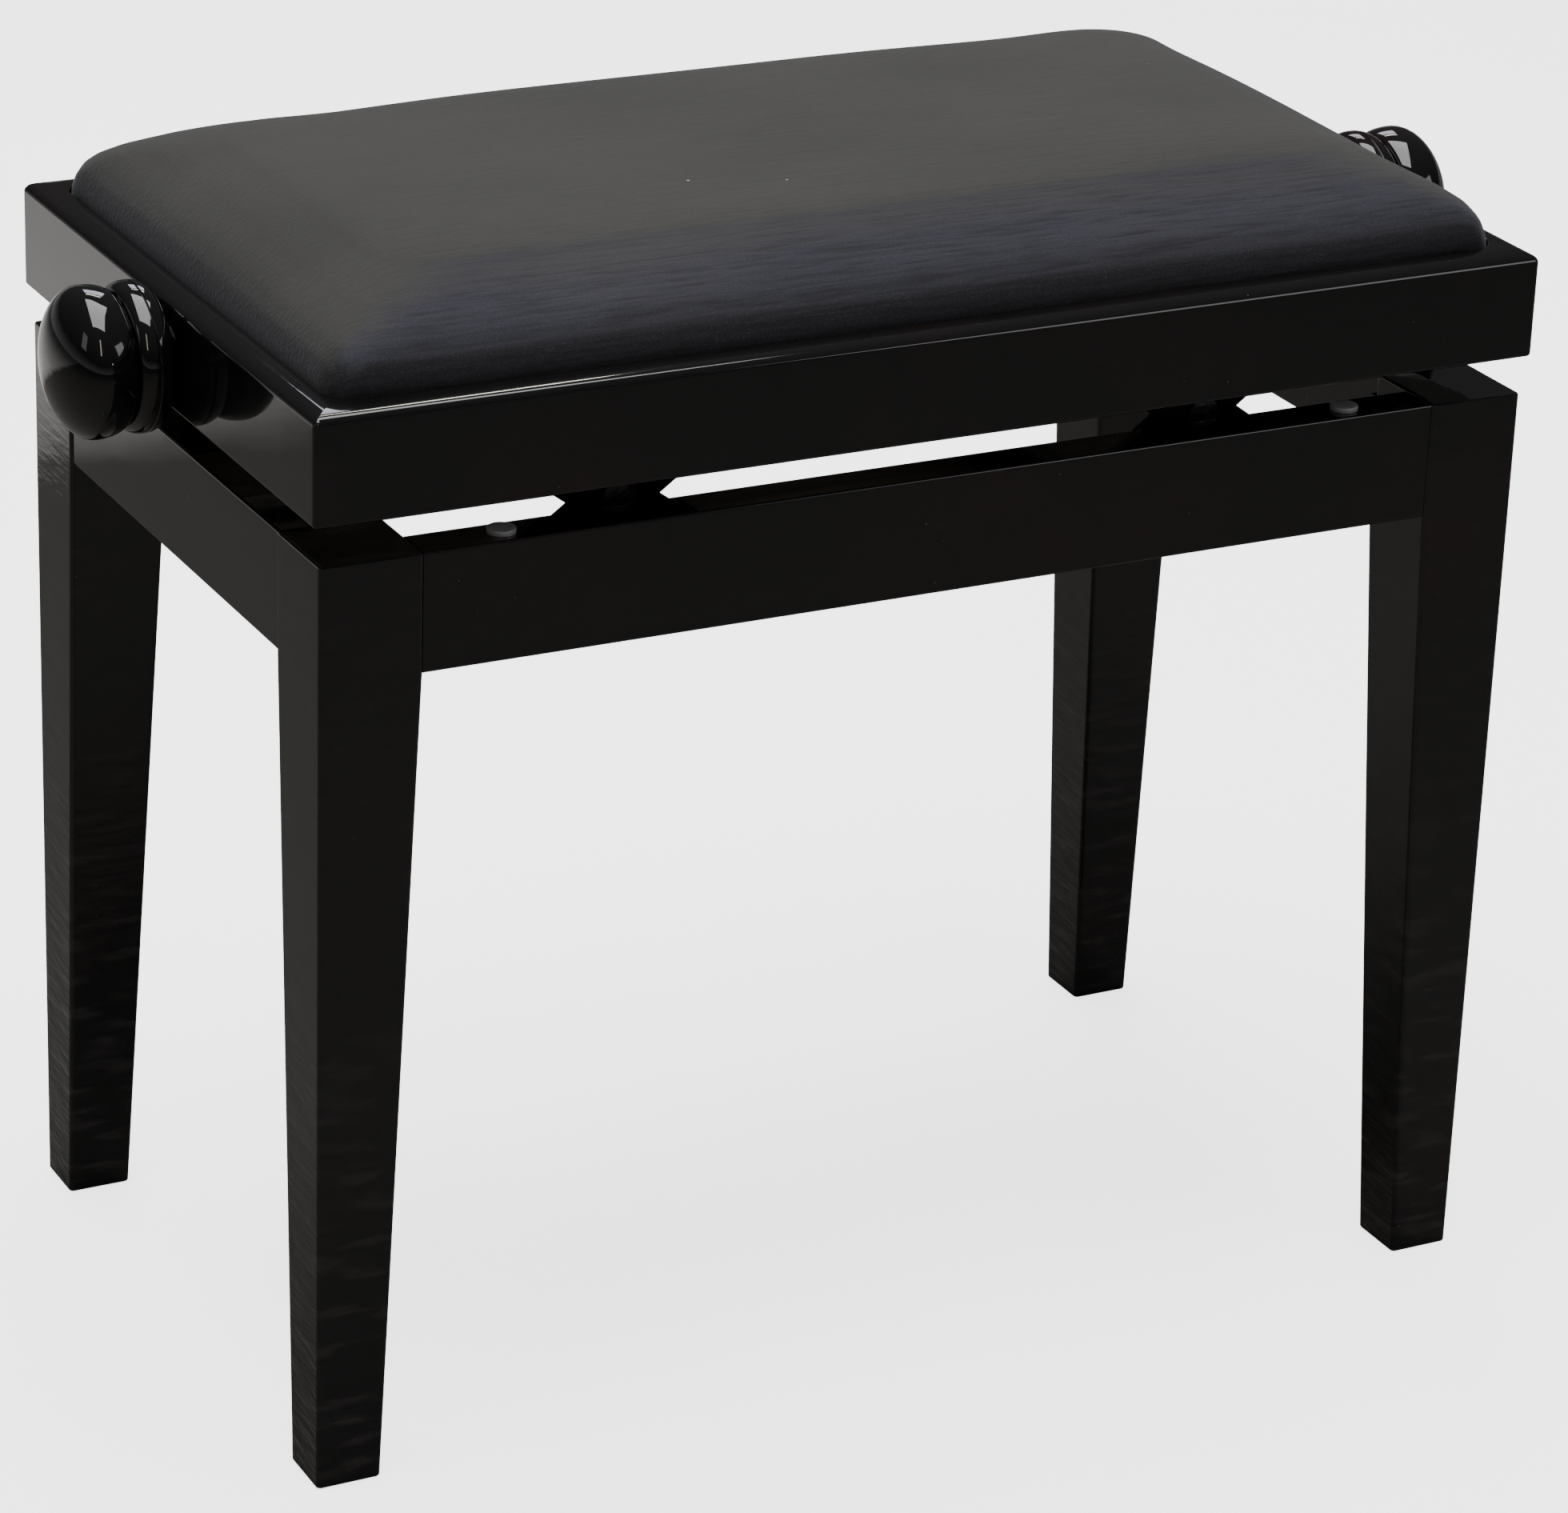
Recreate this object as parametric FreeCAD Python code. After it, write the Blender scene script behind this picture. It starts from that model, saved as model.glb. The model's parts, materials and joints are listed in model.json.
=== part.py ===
import FreeCAD, Part

import math
import os

# Height-adjustable piano bench: four legs and a lower frame, a seat frame with a drop-in cushion, and
# two steel scissors between them, which a screw with left-hand and right-hand threads draws together.
# X runs along the bench, Y from front to back, Z up. The origin is the middle of the footprint, on the
# floor. Everything is in millimetres and stands at the resting height of the seat.

# Lower frame
frame_length = 545.0
frame_depth = 313.0
frame_top = 401.5
leg_top_size = 43.5
leg_foot_size = 28.0
leg_edge_radius = 2.0
frame_rail_height = 50.0
frame_rail_thickness = 20.0
frame_rail_recess = 1.0
frame_rail_edge = 1.0

# Seat frame: a mitred apron with a rebate for the cushion
seat_end_overhang = 3.0
seat_side_overhang = 2.0
seat_gap = 16.5
seat_rail_height = 46.0
seat_rail_thickness = 20.0
seat_rim_width = 12.0
seat_rim_radius = 5.0
seat_bottom_radius = 1.5
seat_corner_radius = 2.5
rebate_depth = 9.0

# Cushion
cushion_fit = 0.5
cushion_corner_radius = 14.0
cushion_rise = 32.0
cushion_flank = 60.0
cushion_steps = 7
cover_thickness = 1.5
cover_fold = 28.0
board_thickness = 7.5

# Screw and knobs
rod_above_seat_bottom = 20.0
rod_radius = 6.0
knob_clearance = 0.5
knob_neck_radius = 13.0
knob_neck_length = 3.5
knob_radius = 31.0
knob_bead_foot_radius = 24.0
knob_bead_length = 16.0
knob_groove_radius = 26.0
knob_bulb_rise = 12.0
knob_dome_length = 17.0
rod_in_knob = 30.0
bush_wall = 2.0
bush_flange_radius = 12.0
bush_flange_thickness = 2.0
collar_radius = 11.0
collar_length = 8.0
collar_gap = 0.3
collar_screw_radius = 2.0

# Scissors
scissor_centre_x = 134.5
lower_pivot_height = 362.0
arm_length = 130.0
arm_width = 23.0
arm_thickness = 4.0
arm_gap = 0.5
rail_to_lift_arm = 9.0
pivot_radius = 5.0
rivet_radius = 4.5
running_clearance = 0.08
upright_play = 3.2
slot_side_play = 0.3
head_radius = 7.5
head_height = 2.5
head_gap = 0.1
crossbar_thickness = 8.0
crossbar_height = 24.0
crossbar_shoulder = 10.0
nut_flats = 24.0
nut_length = 14.0

# Tracks that the lower inner ends slide in
track_wall = 2.0
track_depth = 8.0
slide_radius = 6.0
slide_clearance = 0.1
slide_length = 5.0
track_past_pivot = 9.0
track_past_slide = 30.0
track_screw_steps = (20.0, 37.0)
track_screw_from_end = 6.0

# Slotted blocks under the seat that the guide arms hang from
hanger_length = 40.0
hanger_height = 26.0
hanger_depth = 10.5
hanger_wall = 2.0
hanger_screw_spread = 14.0
pin_end_gap = 0.5

# Corner plates, blocks and fasteners
plate_thickness = 3.0
plate_height = 24.0
plate_flange = 12.0
plate_height_above_rail = 4.0
leg_flat = 6.0
leg_bolt_radius = 3.0
leg_bolt_in_leg = 20.0
leg_bolt_past_plate = 10.0
leg_nut_flats = 10.0
leg_nut_thickness = 5.0
seat_block_side = 44.0
seat_block_clearance = 6.0
screw_radius = 2.0
screw_head_radius = 3.5
screw_head_height = 2.0
screw_in_wood = 12.0
bumper_radius = 6.0
bumper_height = 2.0
bumper_x = 192.0

# Worked out from the sizes above
half_length = frame_length / 2
half_depth = frame_depth / 2
rail_bottom = frame_top - frame_rail_height
frame_inside_x = half_length - frame_rail_recess - frame_rail_thickness
frame_inside_y = half_depth - frame_rail_recess - frame_rail_thickness
leg_inside_x = half_length - leg_top_size
leg_inside_y = half_depth - leg_top_size
seat_length = frame_length + 2 * seat_end_overhang
seat_depth = frame_depth + 2 * seat_side_overhang
seat_bottom = frame_top + seat_gap
seat_top = seat_bottom + seat_rail_height
seat_inside_x = seat_length / 2 - seat_rail_thickness
seat_inside_y = seat_depth / 2 - seat_rail_thickness
ledge = seat_top - rebate_depth
rod_height = seat_bottom + rod_above_seat_bottom
pivot_span = rod_height - lower_pivot_height
arm_half_reach = math.sqrt(arm_length ** 2 - pivot_span ** 2) / 2
outer_pivot_x = scissor_centre_x + arm_half_reach
inner_pivot_x = scissor_centre_x - arm_half_reach
scissor_centre_z = lower_pivot_height + pivot_span / 2
lift_arm_y = (frame_inside_y - rail_to_lift_arm - arm_thickness, frame_inside_y - rail_to_lift_arm)
guide_arm_y = (lift_arm_y[0] - arm_gap - arm_thickness, lift_arm_y[0] - arm_gap)
track_mouth_y = frame_inside_y - track_depth
track_floor_y = frame_inside_y - track_wall
cushion_length = seat_length - 2 * seat_rim_width - 2 * cushion_fit
cushion_depth = seat_depth - 2 * seat_rim_width - 2 * cushion_fit

# Share of the way to the corner at which a cubic curve's inner points make it follow an ellipse
ELLIPSE_PULL = 0.5523
ALONG_X = FreeCAD.Vector(1, 0, 0)
ALONG_Y = FreeCAD.Vector(0, 1, 0)
UP = FreeCAD.Vector(0, 0, 1)
ORIGIN = FreeCAD.Vector(0, 0, 0)
ENDS = (("left", -1), ("right", 1))
SIDES = (("front", -1), ("back", 1))


def box(x_range, y_range, z_range):
    """A box between the given pairs of coordinates."""
    sizes = [high - low for low, high in (x_range, y_range, z_range)]
    return Part.makeBox(*sizes, FreeCAD.Vector(x_range[0], y_range[0], z_range[0]))


def pin_y(x, z, radius, y_range):
    """A round pin along Y."""
    start = FreeCAD.Vector(x, y_range[0], z)
    return Part.makeCylinder(radius, y_range[1] - y_range[0], start, ALONG_Y)


def bar_x(radius, x_range, z=rod_height):
    """A round bar along X in the middle of the bench."""
    start = FreeCAD.Vector(x_range[0], 0, z)
    return Part.makeCylinder(radius, x_range[1] - x_range[0], start, ALONG_X)


def outline(points, z):
    """A closed polygon of (x, y) points at height z."""
    corners = [FreeCAD.Vector(x, y, z) for x, y in points]
    return Part.makePolygon(corners + corners[:1])


def prism(points, z_range):
    """An upright prism over a polygon of (x, y) points."""
    return Part.Face(outline(points, z_range[0])).extrude(UP * (z_range[1] - z_range[0]))


def rounded_outline(x_range, y_range, radius, z):
    """A rectangle with round corners at height z."""
    (x0, x1), (y0, y1) = x_range, y_range
    diagonal = radius * (1 - math.sqrt(0.5))
    edges = []
    corners = ((x1, y0, -1, 1), (x1, y1, -1, -1), (x0, y1, 1, -1), (x0, y0, 1, 1))
    ends = []
    for x, y, inward_x, inward_y in corners:
        on_x_face = FreeCAD.Vector(x, y + inward_y * radius, z)
        on_y_face = FreeCAD.Vector(x + inward_x * radius, y, z)
        middle = FreeCAD.Vector(x + inward_x * diagonal, y + inward_y * diagonal, z)
        first, last = (on_y_face, on_x_face) if inward_x * inward_y < 0 else (on_x_face, on_y_face)
        ends.append((first, middle, last))
    for index, (first, middle, last) in enumerate(ends):
        edges.append(Part.Arc(first, middle, last).toShape())
        edges.append(Part.LineSegment(last, ends[(index + 1) % 4][0]).toShape())
    return Part.Wire(edges)


def rounded_prism(x_range, y_range, radius, z_range):
    """An upright prism over a rectangle with round corners."""
    base = Part.Face(rounded_outline(x_range, y_range, radius, z_range[0]))
    return base.extrude(UP * (z_range[1] - z_range[0]))


def flat_bar(start, end, width, y_range):
    """A flat bar with round ends, whose end centres are (x, z) points."""
    a = FreeCAD.Vector(start[0], y_range[0], start[1])
    b = FreeCAD.Vector(end[0], y_range[0], end[1])
    along = (b - a).normalize() * (width / 2)
    across = along.cross(ALONG_Y)
    edges = [
        Part.LineSegment(a + across, b + across).toShape(),
        Part.Arc(b + across, b + along, b - across).toShape(),
        Part.LineSegment(b - across, a - across).toShape(),
        Part.Arc(a - across, a - along, a + across).toShape(),
    ]
    return Part.Face(Part.Wire(edges)).extrude(ALONG_Y * (y_range[1] - y_range[0]))


def quarter_ellipse(start, corner, end):
    """A curve like a quarter of an ellipse, whose end tangents meet in the given corner."""
    curve = Part.BezierCurve()
    curve.setPoles([start, start + (corner - start) * ELLIPSE_PULL, end + (corner - end) * ELLIPSE_PULL, end])
    return curve.toShape()


def hexagon(flats):
    """The (x, y) corners of a hexagon about the origin, with two flats along X."""
    radius = flats / math.sqrt(3)
    angles = [math.radians(60 * step) for step in range(6)]
    return [(radius * math.cos(angle), radius * math.sin(angle)) for angle in angles]


def in_quarter(shape, end_sign, side_sign):
    """A shape from the right back quarter, mirrored into another quarter."""
    if end_sign < 0:
        shape = shape.mirror(ORIGIN, ALONG_X)
    if side_sign < 0:
        shape = shape.mirror(ORIGIN, ALONG_Y)
    return shape


def in_all_quarters(shape):
    """The four copies of a shape from the right back quarter."""
    return [in_quarter(shape, end, side) for _, end in ENDS for _, side in SIDES]


def wood_screw_y(x, z, face_y):
    """A screw along Y in the right back quarter, its head against the inner side of face_y."""
    shank = pin_y(x, z, screw_radius, (face_y, face_y + screw_in_wood))
    head = pin_y(x, z, screw_head_radius, (face_y - screw_head_height, face_y))
    return shank.fuse(head).removeSplitter()


# Scissors -------------------------------------------------------------------------------------------

def rivets():
    """The centre rivets, fixed in the lift arms; the guide arms turn on them."""
    x, z = scissor_centre_x, scissor_centre_z
    shank = pin_y(x, z, rivet_radius, (guide_arm_y[0] - head_gap, lift_arm_y[1]))
    inner_head = pin_y(x, z, head_radius, (guide_arm_y[0] - head_gap - head_height, guide_arm_y[0] - head_gap))
    outer_head = pin_y(x, z, head_radius, (lift_arm_y[1], lift_arm_y[1] + head_height))
    return shank.fuse([inner_head, outer_head]).removeSplitter()


def lift_arm():
    """An arm from the lower outer pivot to the crossbar on the screw."""
    foot = (outer_pivot_x, lower_pivot_height)
    tip = (inner_pivot_x, rod_height)
    arm = flat_bar(foot, tip, arm_width, lift_arm_y)
    for x, z in (foot, tip):
        arm = arm.cut(pin_y(x, z, pivot_radius + running_clearance, lift_arm_y))
    return arm.cut(pin_y(scissor_centre_x, scissor_centre_z, rivet_radius, lift_arm_y))


def guide_arm():
    """An arm from the sliding lower end to the slotted block under the seat."""
    foot = (inner_pivot_x, lower_pivot_height)
    tip = (outer_pivot_x, rod_height)
    arm = flat_bar(foot, tip, arm_width, guide_arm_y)
    for x, z in (foot, tip):
        arm = arm.cut(pin_y(x, z, pivot_radius, guide_arm_y))
    hole = pin_y(scissor_centre_x, scissor_centre_z, rivet_radius + running_clearance, guide_arm_y)
    return arm.cut(hole)


def slide_pin():
    """The pin at a guide arm's lower end, with a round shoe that slides in the track."""
    x, z = inner_pivot_x, lower_pivot_height
    shoe_end = track_floor_y - pin_end_gap
    head = pin_y(x, z, head_radius, (guide_arm_y[0] - head_height, guide_arm_y[0]))
    shank = pin_y(x, z, pivot_radius, (guide_arm_y[0], shoe_end - slide_length))
    shoe = pin_y(x, z, slide_radius, (shoe_end - slide_length, shoe_end))
    return head.fuse([shank, shoe]).removeSplitter()


def hanger_pin():
    """The pin at a guide arm's upper end, which stands in a slotted block."""
    x, z = outer_pivot_x, rod_height
    head = pin_y(x, z, head_radius, (guide_arm_y[0] - head_height, guide_arm_y[0]))
    shank = pin_y(x, z, pivot_radius, (guide_arm_y[0], seat_inside_y - hanger_wall - pin_end_gap))
    return head.fuse(shank).removeSplitter()


def pivot_stud():
    """The stud on a track that a lift arm's foot turns on."""
    x, z = outer_pivot_x, lower_pivot_height
    collar = pin_y(x, z, slide_radius, (lift_arm_y[1] + head_gap, track_floor_y))
    shank = pin_y(x, z, pivot_radius, (lift_arm_y[0] - head_gap, lift_arm_y[1] + head_gap))
    head = pin_y(x, z, head_radius, (lift_arm_y[0] - head_gap - head_height, lift_arm_y[0] - head_gap))
    return collar.fuse([shank, head]).removeSplitter()


def rod_slot(x_range):
    """The upright slot that the screw passes through, which takes up the play of the linkage."""
    half_width = rod_radius + slot_side_play
    low = rod_height - upright_play
    high = rod_height + upright_play
    middle = box(x_range, (-half_width, half_width), (low, high))
    return middle.fuse([bar_x(half_width, x_range, low), bar_x(half_width, x_range, high)])


def crossbar():
    """The flat bar between a pair of lift arms, with round ends that turn in them."""
    x_range = (inner_pivot_x - crossbar_thickness / 2, inner_pivot_x + crossbar_thickness / 2)
    z_range = (rod_height - crossbar_height / 2, rod_height + crossbar_height / 2)
    shoulder_y = lift_arm_y[0] - head_gap
    bar_y = shoulder_y - crossbar_shoulder
    bar = box(x_range, (-bar_y, bar_y), z_range)
    for _, side in SIDES:
        ends = (
            (head_radius, bar_y, shoulder_y),
            (pivot_radius, shoulder_y, lift_arm_y[1] + head_gap),
            (head_radius, lift_arm_y[1] + head_gap, lift_arm_y[1] + head_gap + head_height),
        )
        for radius, start, end in ends:
            bar = bar.fuse(pin_y(inner_pivot_x, rod_height, radius, sorted((side * start, side * end))))
    return bar.cut(rod_slot(x_range)).removeSplitter()


def nut():
    """The brass nut on a crossbar's outer face."""
    start = inner_pivot_x + crossbar_thickness / 2
    blank = Part.Face(outline(hexagon(nut_flats), 0)).extrude(UP * nut_length)
    blank.rotate(ORIGIN, ALONG_Y, 90)
    blank.rotate(ORIGIN, ALONG_X, 90)
    blank.translate(FreeCAD.Vector(start, 0, rod_height))
    return blank.cut(rod_slot((start, start + nut_length)))


# Lower frame ----------------------------------------------------------------------------------------

track_x = (inner_pivot_x - track_past_slide, outer_pivot_x + track_past_pivot)


def track_screws():
    """The screws of one track, clear of the sliding shoe."""
    places = [outer_pivot_x - step for step in track_screw_steps] + [track_x[0] + track_screw_from_end]
    return [wood_screw_y(x, lower_pivot_height, track_floor_y) for x in places]


def track(screws):
    """The channel on a long rail's inner face, for a stud and a sliding shoe."""
    inside = slide_radius + slide_clearance
    outside = inside + track_wall
    z = lower_pivot_height
    channel = box(track_x, (track_mouth_y, frame_inside_y), (z - outside, z + outside))
    groove = box(track_x, (track_mouth_y, track_floor_y), (z - inside, z + inside))
    return channel.cut(groove).cut(screws)


plate_z = (rail_bottom + plate_height_above_rail, rail_bottom + plate_height_above_rail + plate_height)
plate_sum = leg_inside_x + leg_inside_y + leg_flat
plate_inner_sum = plate_sum - plate_thickness * math.sqrt(2)
flange_screw_x = plate_inner_sum - frame_inside_y - plate_flange / 2
flange_screw_y = plate_inner_sum - frame_inside_x - plate_flange / 2


def corner_plate(fasteners):
    """The steel plate across a corner, with a flange on each rail, pulled tight against the leg."""
    across = [
        (plate_sum - frame_inside_y, frame_inside_y),
        (plate_inner_sum - frame_inside_y, frame_inside_y),
        (frame_inside_x, plate_inner_sum - frame_inside_x),
        (frame_inside_x, plate_sum - frame_inside_x),
    ]
    long_flange = box(
        (plate_inner_sum - frame_inside_y - plate_flange, plate_sum - frame_inside_y),
        (frame_inside_y - plate_thickness, frame_inside_y), plate_z)
    short_flange = box(
        (frame_inside_x - plate_thickness, frame_inside_x),
        (plate_inner_sum - frame_inside_x - plate_flange, plate_sum - frame_inside_x), plate_z)
    return prism(across, plate_z).fuse([long_flange, short_flange]).removeSplitter().cut(fasteners)


def corner_screws():
    """The two screws of a corner plate, one into each rail."""
    z = sum(plate_z) / 2
    long_screw = wood_screw_y(flange_screw_x, z, frame_inside_y - plate_thickness)
    short_screw = wood_screw_y(0, z, frame_inside_x - plate_thickness)
    short_screw.rotate(ORIGIN, UP, -90)
    short_screw.translate(FreeCAD.Vector(0, flange_screw_y, 0))
    return [long_screw, short_screw]


def leg_bolt_axis():
    """Where a leg bolt crosses the outer face of its corner plate, and the direction into the leg."""
    middle_x = (plate_sum - frame_inside_y + frame_inside_x) / 2
    point = FreeCAD.Vector(middle_x, plate_sum - middle_x, sum(plate_z) / 2)
    return point, FreeCAD.Vector(1, 1, 0).normalize()


def leg_bolt():
    """The bolt that pulls a leg into its corner."""
    point, into_leg = leg_bolt_axis()
    start = point - into_leg * (plate_thickness + leg_bolt_past_plate)
    length = plate_thickness + leg_bolt_past_plate + leg_bolt_in_leg
    return Part.makeCylinder(leg_bolt_radius, length, start, into_leg)


def leg_bolt_nut(bolt):
    """The nut of a leg bolt, on the corner plate."""
    point, into_leg = leg_bolt_axis()
    blank = Part.Face(outline(hexagon(leg_nut_flats), 0)).extrude(UP * leg_nut_thickness)
    blank.Placement = FreeCAD.Placement(
        point - into_leg * (plate_thickness + leg_nut_thickness), FreeCAD.Rotation(UP, into_leg))
    return blank.cut(bolt)


def leg(fasteners):
    """A square block between the rails, and below them a taper on the two inner faces."""
    sections = []
    for size, z in ((leg_foot_size, 0), (leg_top_size, rail_bottom), (leg_top_size, frame_top)):
        x_range = (half_length - size, half_length)
        y_range = (half_depth - size, half_depth)
        sections.append(rounded_outline(x_range, y_range, leg_edge_radius, z))
    corner = [
        (plate_sum - leg_inside_y, leg_inside_y),
        (leg_inside_x, plate_sum - leg_inside_x),
        (leg_inside_x, leg_inside_y),
    ]
    return Part.makeLoft(sections, True, True).cut(prism(corner, plate_z)).cut(fasteners)


def rounded_beam(x_range, y_range, z_range):
    """A rail along X or Y whose four long edges are slightly rounded."""
    beam = box(x_range, y_range, z_range)
    longest = max(edge.Length for edge in beam.Edges)
    long_edges = [edge for edge in beam.Edges if edge.Length > longest - frame_rail_edge]
    return beam.makeFillet(frame_rail_edge, long_edges)


def frame_rails():
    """The front, back, left and right rails of the lower frame."""
    z_range = (rail_bottom, frame_top)
    long_y = (frame_inside_y, frame_inside_y + frame_rail_thickness)
    short_x = (frame_inside_x, frame_inside_x + frame_rail_thickness)
    long_rail = rounded_beam((-leg_inside_x, leg_inside_x), long_y, z_range)
    short_rail = rounded_beam(short_x, (-leg_inside_y, leg_inside_y), z_range)
    return {
        "frame_rail_back": long_rail,
        "frame_rail_front": long_rail.mirror(ORIGIN, ALONG_Y),
        "frame_rail_right": short_rail,
        "frame_rail_left": short_rail.mirror(ORIGIN, ALONG_X),
    }


def bumper():
    """A clear disc on a long rail's top, for the seat to come down on."""
    start = FreeCAD.Vector(bumper_x, frame_inside_y + frame_rail_thickness / 2, frame_top)
    return Part.makeCylinder(bumper_radius, bumper_height, start, UP)


# Seat -----------------------------------------------------------------------------------------------

def seat_rail(length, depth):
    """The front rail of a mitred apron: rounded rim, rebate for the cushion, mitred ends."""
    outer = -depth / 2
    rim = outer + seat_rim_width
    inner = outer + seat_rail_thickness
    half = length / 2
    lean = 1 - math.sqrt(0.5)

    def at(y, z):
        return FreeCAD.Vector(-half, y, z)

    top_arc = (
        at(outer, seat_top - seat_rim_radius),
        at(outer + seat_rim_radius * lean, seat_top - seat_rim_radius * lean),
        at(outer + seat_rim_radius, seat_top),
    )
    bottom_arc = (
        at(outer + seat_bottom_radius, seat_bottom),
        at(outer + seat_bottom_radius * lean, seat_bottom + seat_bottom_radius * lean),
        at(outer, seat_bottom + seat_bottom_radius),
    )
    corners = [top_arc[2], at(rim, seat_top), at(rim, ledge), at(inner, ledge), at(inner, seat_bottom)]
    corners.append(bottom_arc[0])
    edges = [Part.LineSegment(a, b).toShape() for a, b in zip(corners, corners[1:])]
    edges.append(Part.Arc(*bottom_arc).toShape())
    edges.append(Part.LineSegment(bottom_arc[2], top_arc[0]).toShape())
    edges.append(Part.Arc(*top_arc).toShape())
    rail = Part.Face(Part.Wire(edges)).extrude(ALONG_X * length)
    mitre = seat_rail_thickness
    plan = [(-half, outer), (half, outer), (half - mitre, inner), (mitre - half, inner)]
    rail = rail.common(prism(plan, (seat_bottom, seat_top)))
    whole = rounded_prism((-half, half), (outer, -outer), seat_corner_radius, (seat_bottom, seat_top))
    return rail.common(whole)


def seat_rails():
    """The four seat rails by name, each the front one turned to its side."""
    rails = {}
    plan = (("front", seat_length, seat_depth, 0), ("right", seat_depth, seat_length, 90),
            ("back", seat_length, seat_depth, 180), ("left", seat_depth, seat_length, 270))
    for name, length, depth, angle in plan:
        rail = seat_rail(length, depth)
        rail.rotate(ORIGIN, UP, angle)
        rails["seat_rail_" + name] = rail
    return rails


def crown(length, depth, bottom, rise):
    """A pad with round corners and upright sides, whose top is a dome of quarter ellipses in steps."""
    sections = []
    side_height = seat_top - bottom
    levels = [(0.0, bottom), (0.0, bottom + side_height)]
    for step in range(1, cushion_steps + 1):
        angle = math.radians(90 * step / cushion_steps)
        inset = cushion_flank * (1 - math.cos(angle))
        levels.append((inset, bottom + side_height + rise * math.sin(angle)))
    for inset, z in levels:
        x_range = (inset - length / 2, length / 2 - inset)
        y_range = (inset - depth / 2, depth / 2 - inset)
        sections.append(rounded_outline(x_range, y_range, cushion_corner_radius, z))
    return Part.makeLoft(sections, True, True)


def cushion_parts():
    """The plywood board, the foam on it, and the velvet cover folded under the board's edges."""
    wrapped_length = cushion_length - 2 * cover_thickness
    wrapped_depth = cushion_depth - 2 * cover_thickness
    board_bottom = ledge + cover_thickness
    board_top = board_bottom + board_thickness
    inside = crown(wrapped_length, wrapped_depth, board_bottom, cushion_rise - cover_thickness)
    reach = cushion_length
    below = box((-reach, reach), (-reach, reach), (ledge, board_top))
    above = box((-reach, reach), (-reach, reach), (board_top, seat_top + cushion_rise))
    fold_x = wrapped_length / 2 - cover_fold
    fold_y = wrapped_depth / 2 - cover_fold
    underside = rounded_prism((-fold_x, fold_x), (-fold_y, fold_y), cushion_corner_radius, (ledge, board_bottom))
    cover = crown(cushion_length, cushion_depth, ledge, cushion_rise).cut(inside).cut(underside)
    return {"seat_board": inside.common(below), "foam_pad": inside.common(above), "velvet_cover": cover}


def seat_block():
    """A triangular block glued in a corner of the apron, which the board rests on."""
    corner = (seat_inside_x, seat_inside_y)
    points = [corner, (corner[0] - seat_block_side, corner[1]), (corner[0], corner[1] - seat_block_side)]
    return prism(points, (seat_bottom + seat_block_clearance, ledge))


def seat_block_screw():
    """The screw from below, through a corner block and the fold of the cover, into the board."""
    inset = seat_block_side / 4
    x, y = seat_inside_x - inset, seat_inside_y - inset
    bottom = seat_bottom + seat_block_clearance
    top = ledge + cover_thickness + board_thickness / 2
    shank = Part.makeCylinder(screw_radius, top - bottom, FreeCAD.Vector(x, y, bottom), UP)
    head_start = FreeCAD.Vector(x, y, bottom - screw_head_height)
    return Part.makeCylinder(screw_head_radius, screw_head_height, head_start, UP).fuse(shank).removeSplitter()


def hanger_screws():
    """The two screws of a slotted block, one each side of the slot."""
    face_y = seat_inside_y - hanger_depth
    places = (outer_pivot_x - hanger_screw_spread, outer_pivot_x + hanger_screw_spread)
    screws = []
    for x in places:
        shank = pin_y(x, rod_height, screw_radius, (face_y, seat_inside_y + screw_in_wood))
        head = pin_y(x, rod_height, screw_head_radius, (face_y - screw_head_height, face_y))
        screws.append(shank.fuse(head).removeSplitter())
    return screws


def hanger_block(screws):
    """The slotted block that a guide arm's upper pin stands in."""
    half = hanger_length / 2
    z_range = (rod_height - hanger_height / 2, rod_height + hanger_height / 2)
    y_range = (seat_inside_y - hanger_depth, seat_inside_y)
    block = box((outer_pivot_x - half, outer_pivot_x + half), y_range, z_range)
    slot_y = (y_range[0], seat_inside_y - hanger_wall)
    low = (outer_pivot_x, rod_height - upright_play)
    high = (outer_pivot_x, rod_height + upright_play)
    slot = flat_bar(low, high, 2 * (pivot_radius + slot_side_play), slot_y)
    return block.cut(slot).cut(screws)


# Screw ----------------------------------------------------------------------------------------------

def rod_bush():
    """The flanged bush in an end rail of the seat."""
    start, end = seat_inside_x, seat_length / 2
    barrel = bar_x(rod_radius + running_clearance + bush_wall, (start, end))
    flange = bar_x(bush_flange_radius, (start - bush_flange_thickness, start))
    bore = bar_x(rod_radius + running_clearance, (start - bush_flange_thickness, end))
    return barrel.fuse(flange).removeSplitter().cut(bore)


def threaded_rod():
    """The screw from knob to knob."""
    end = seat_length / 2 + rod_in_knob
    return bar_x(rod_radius, (-end, end))


def rod_collar():
    """The collar inside an end rail that keeps the screw from sliding along."""
    end = seat_inside_x - bush_flange_thickness - collar_gap
    x_range = (end - collar_length, end)
    ring = bar_x(collar_radius, x_range).cut(bar_x(rod_radius, x_range))
    axis = FreeCAD.Vector(end - collar_length / 2, 0, rod_height)
    screw = Part.makeCylinder(collar_screw_radius, 2 * collar_radius, axis, UP)
    screw = screw.common(bar_x(collar_radius, x_range)).cut(bar_x(rod_radius, x_range))
    return ring.cut(screw), screw


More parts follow.
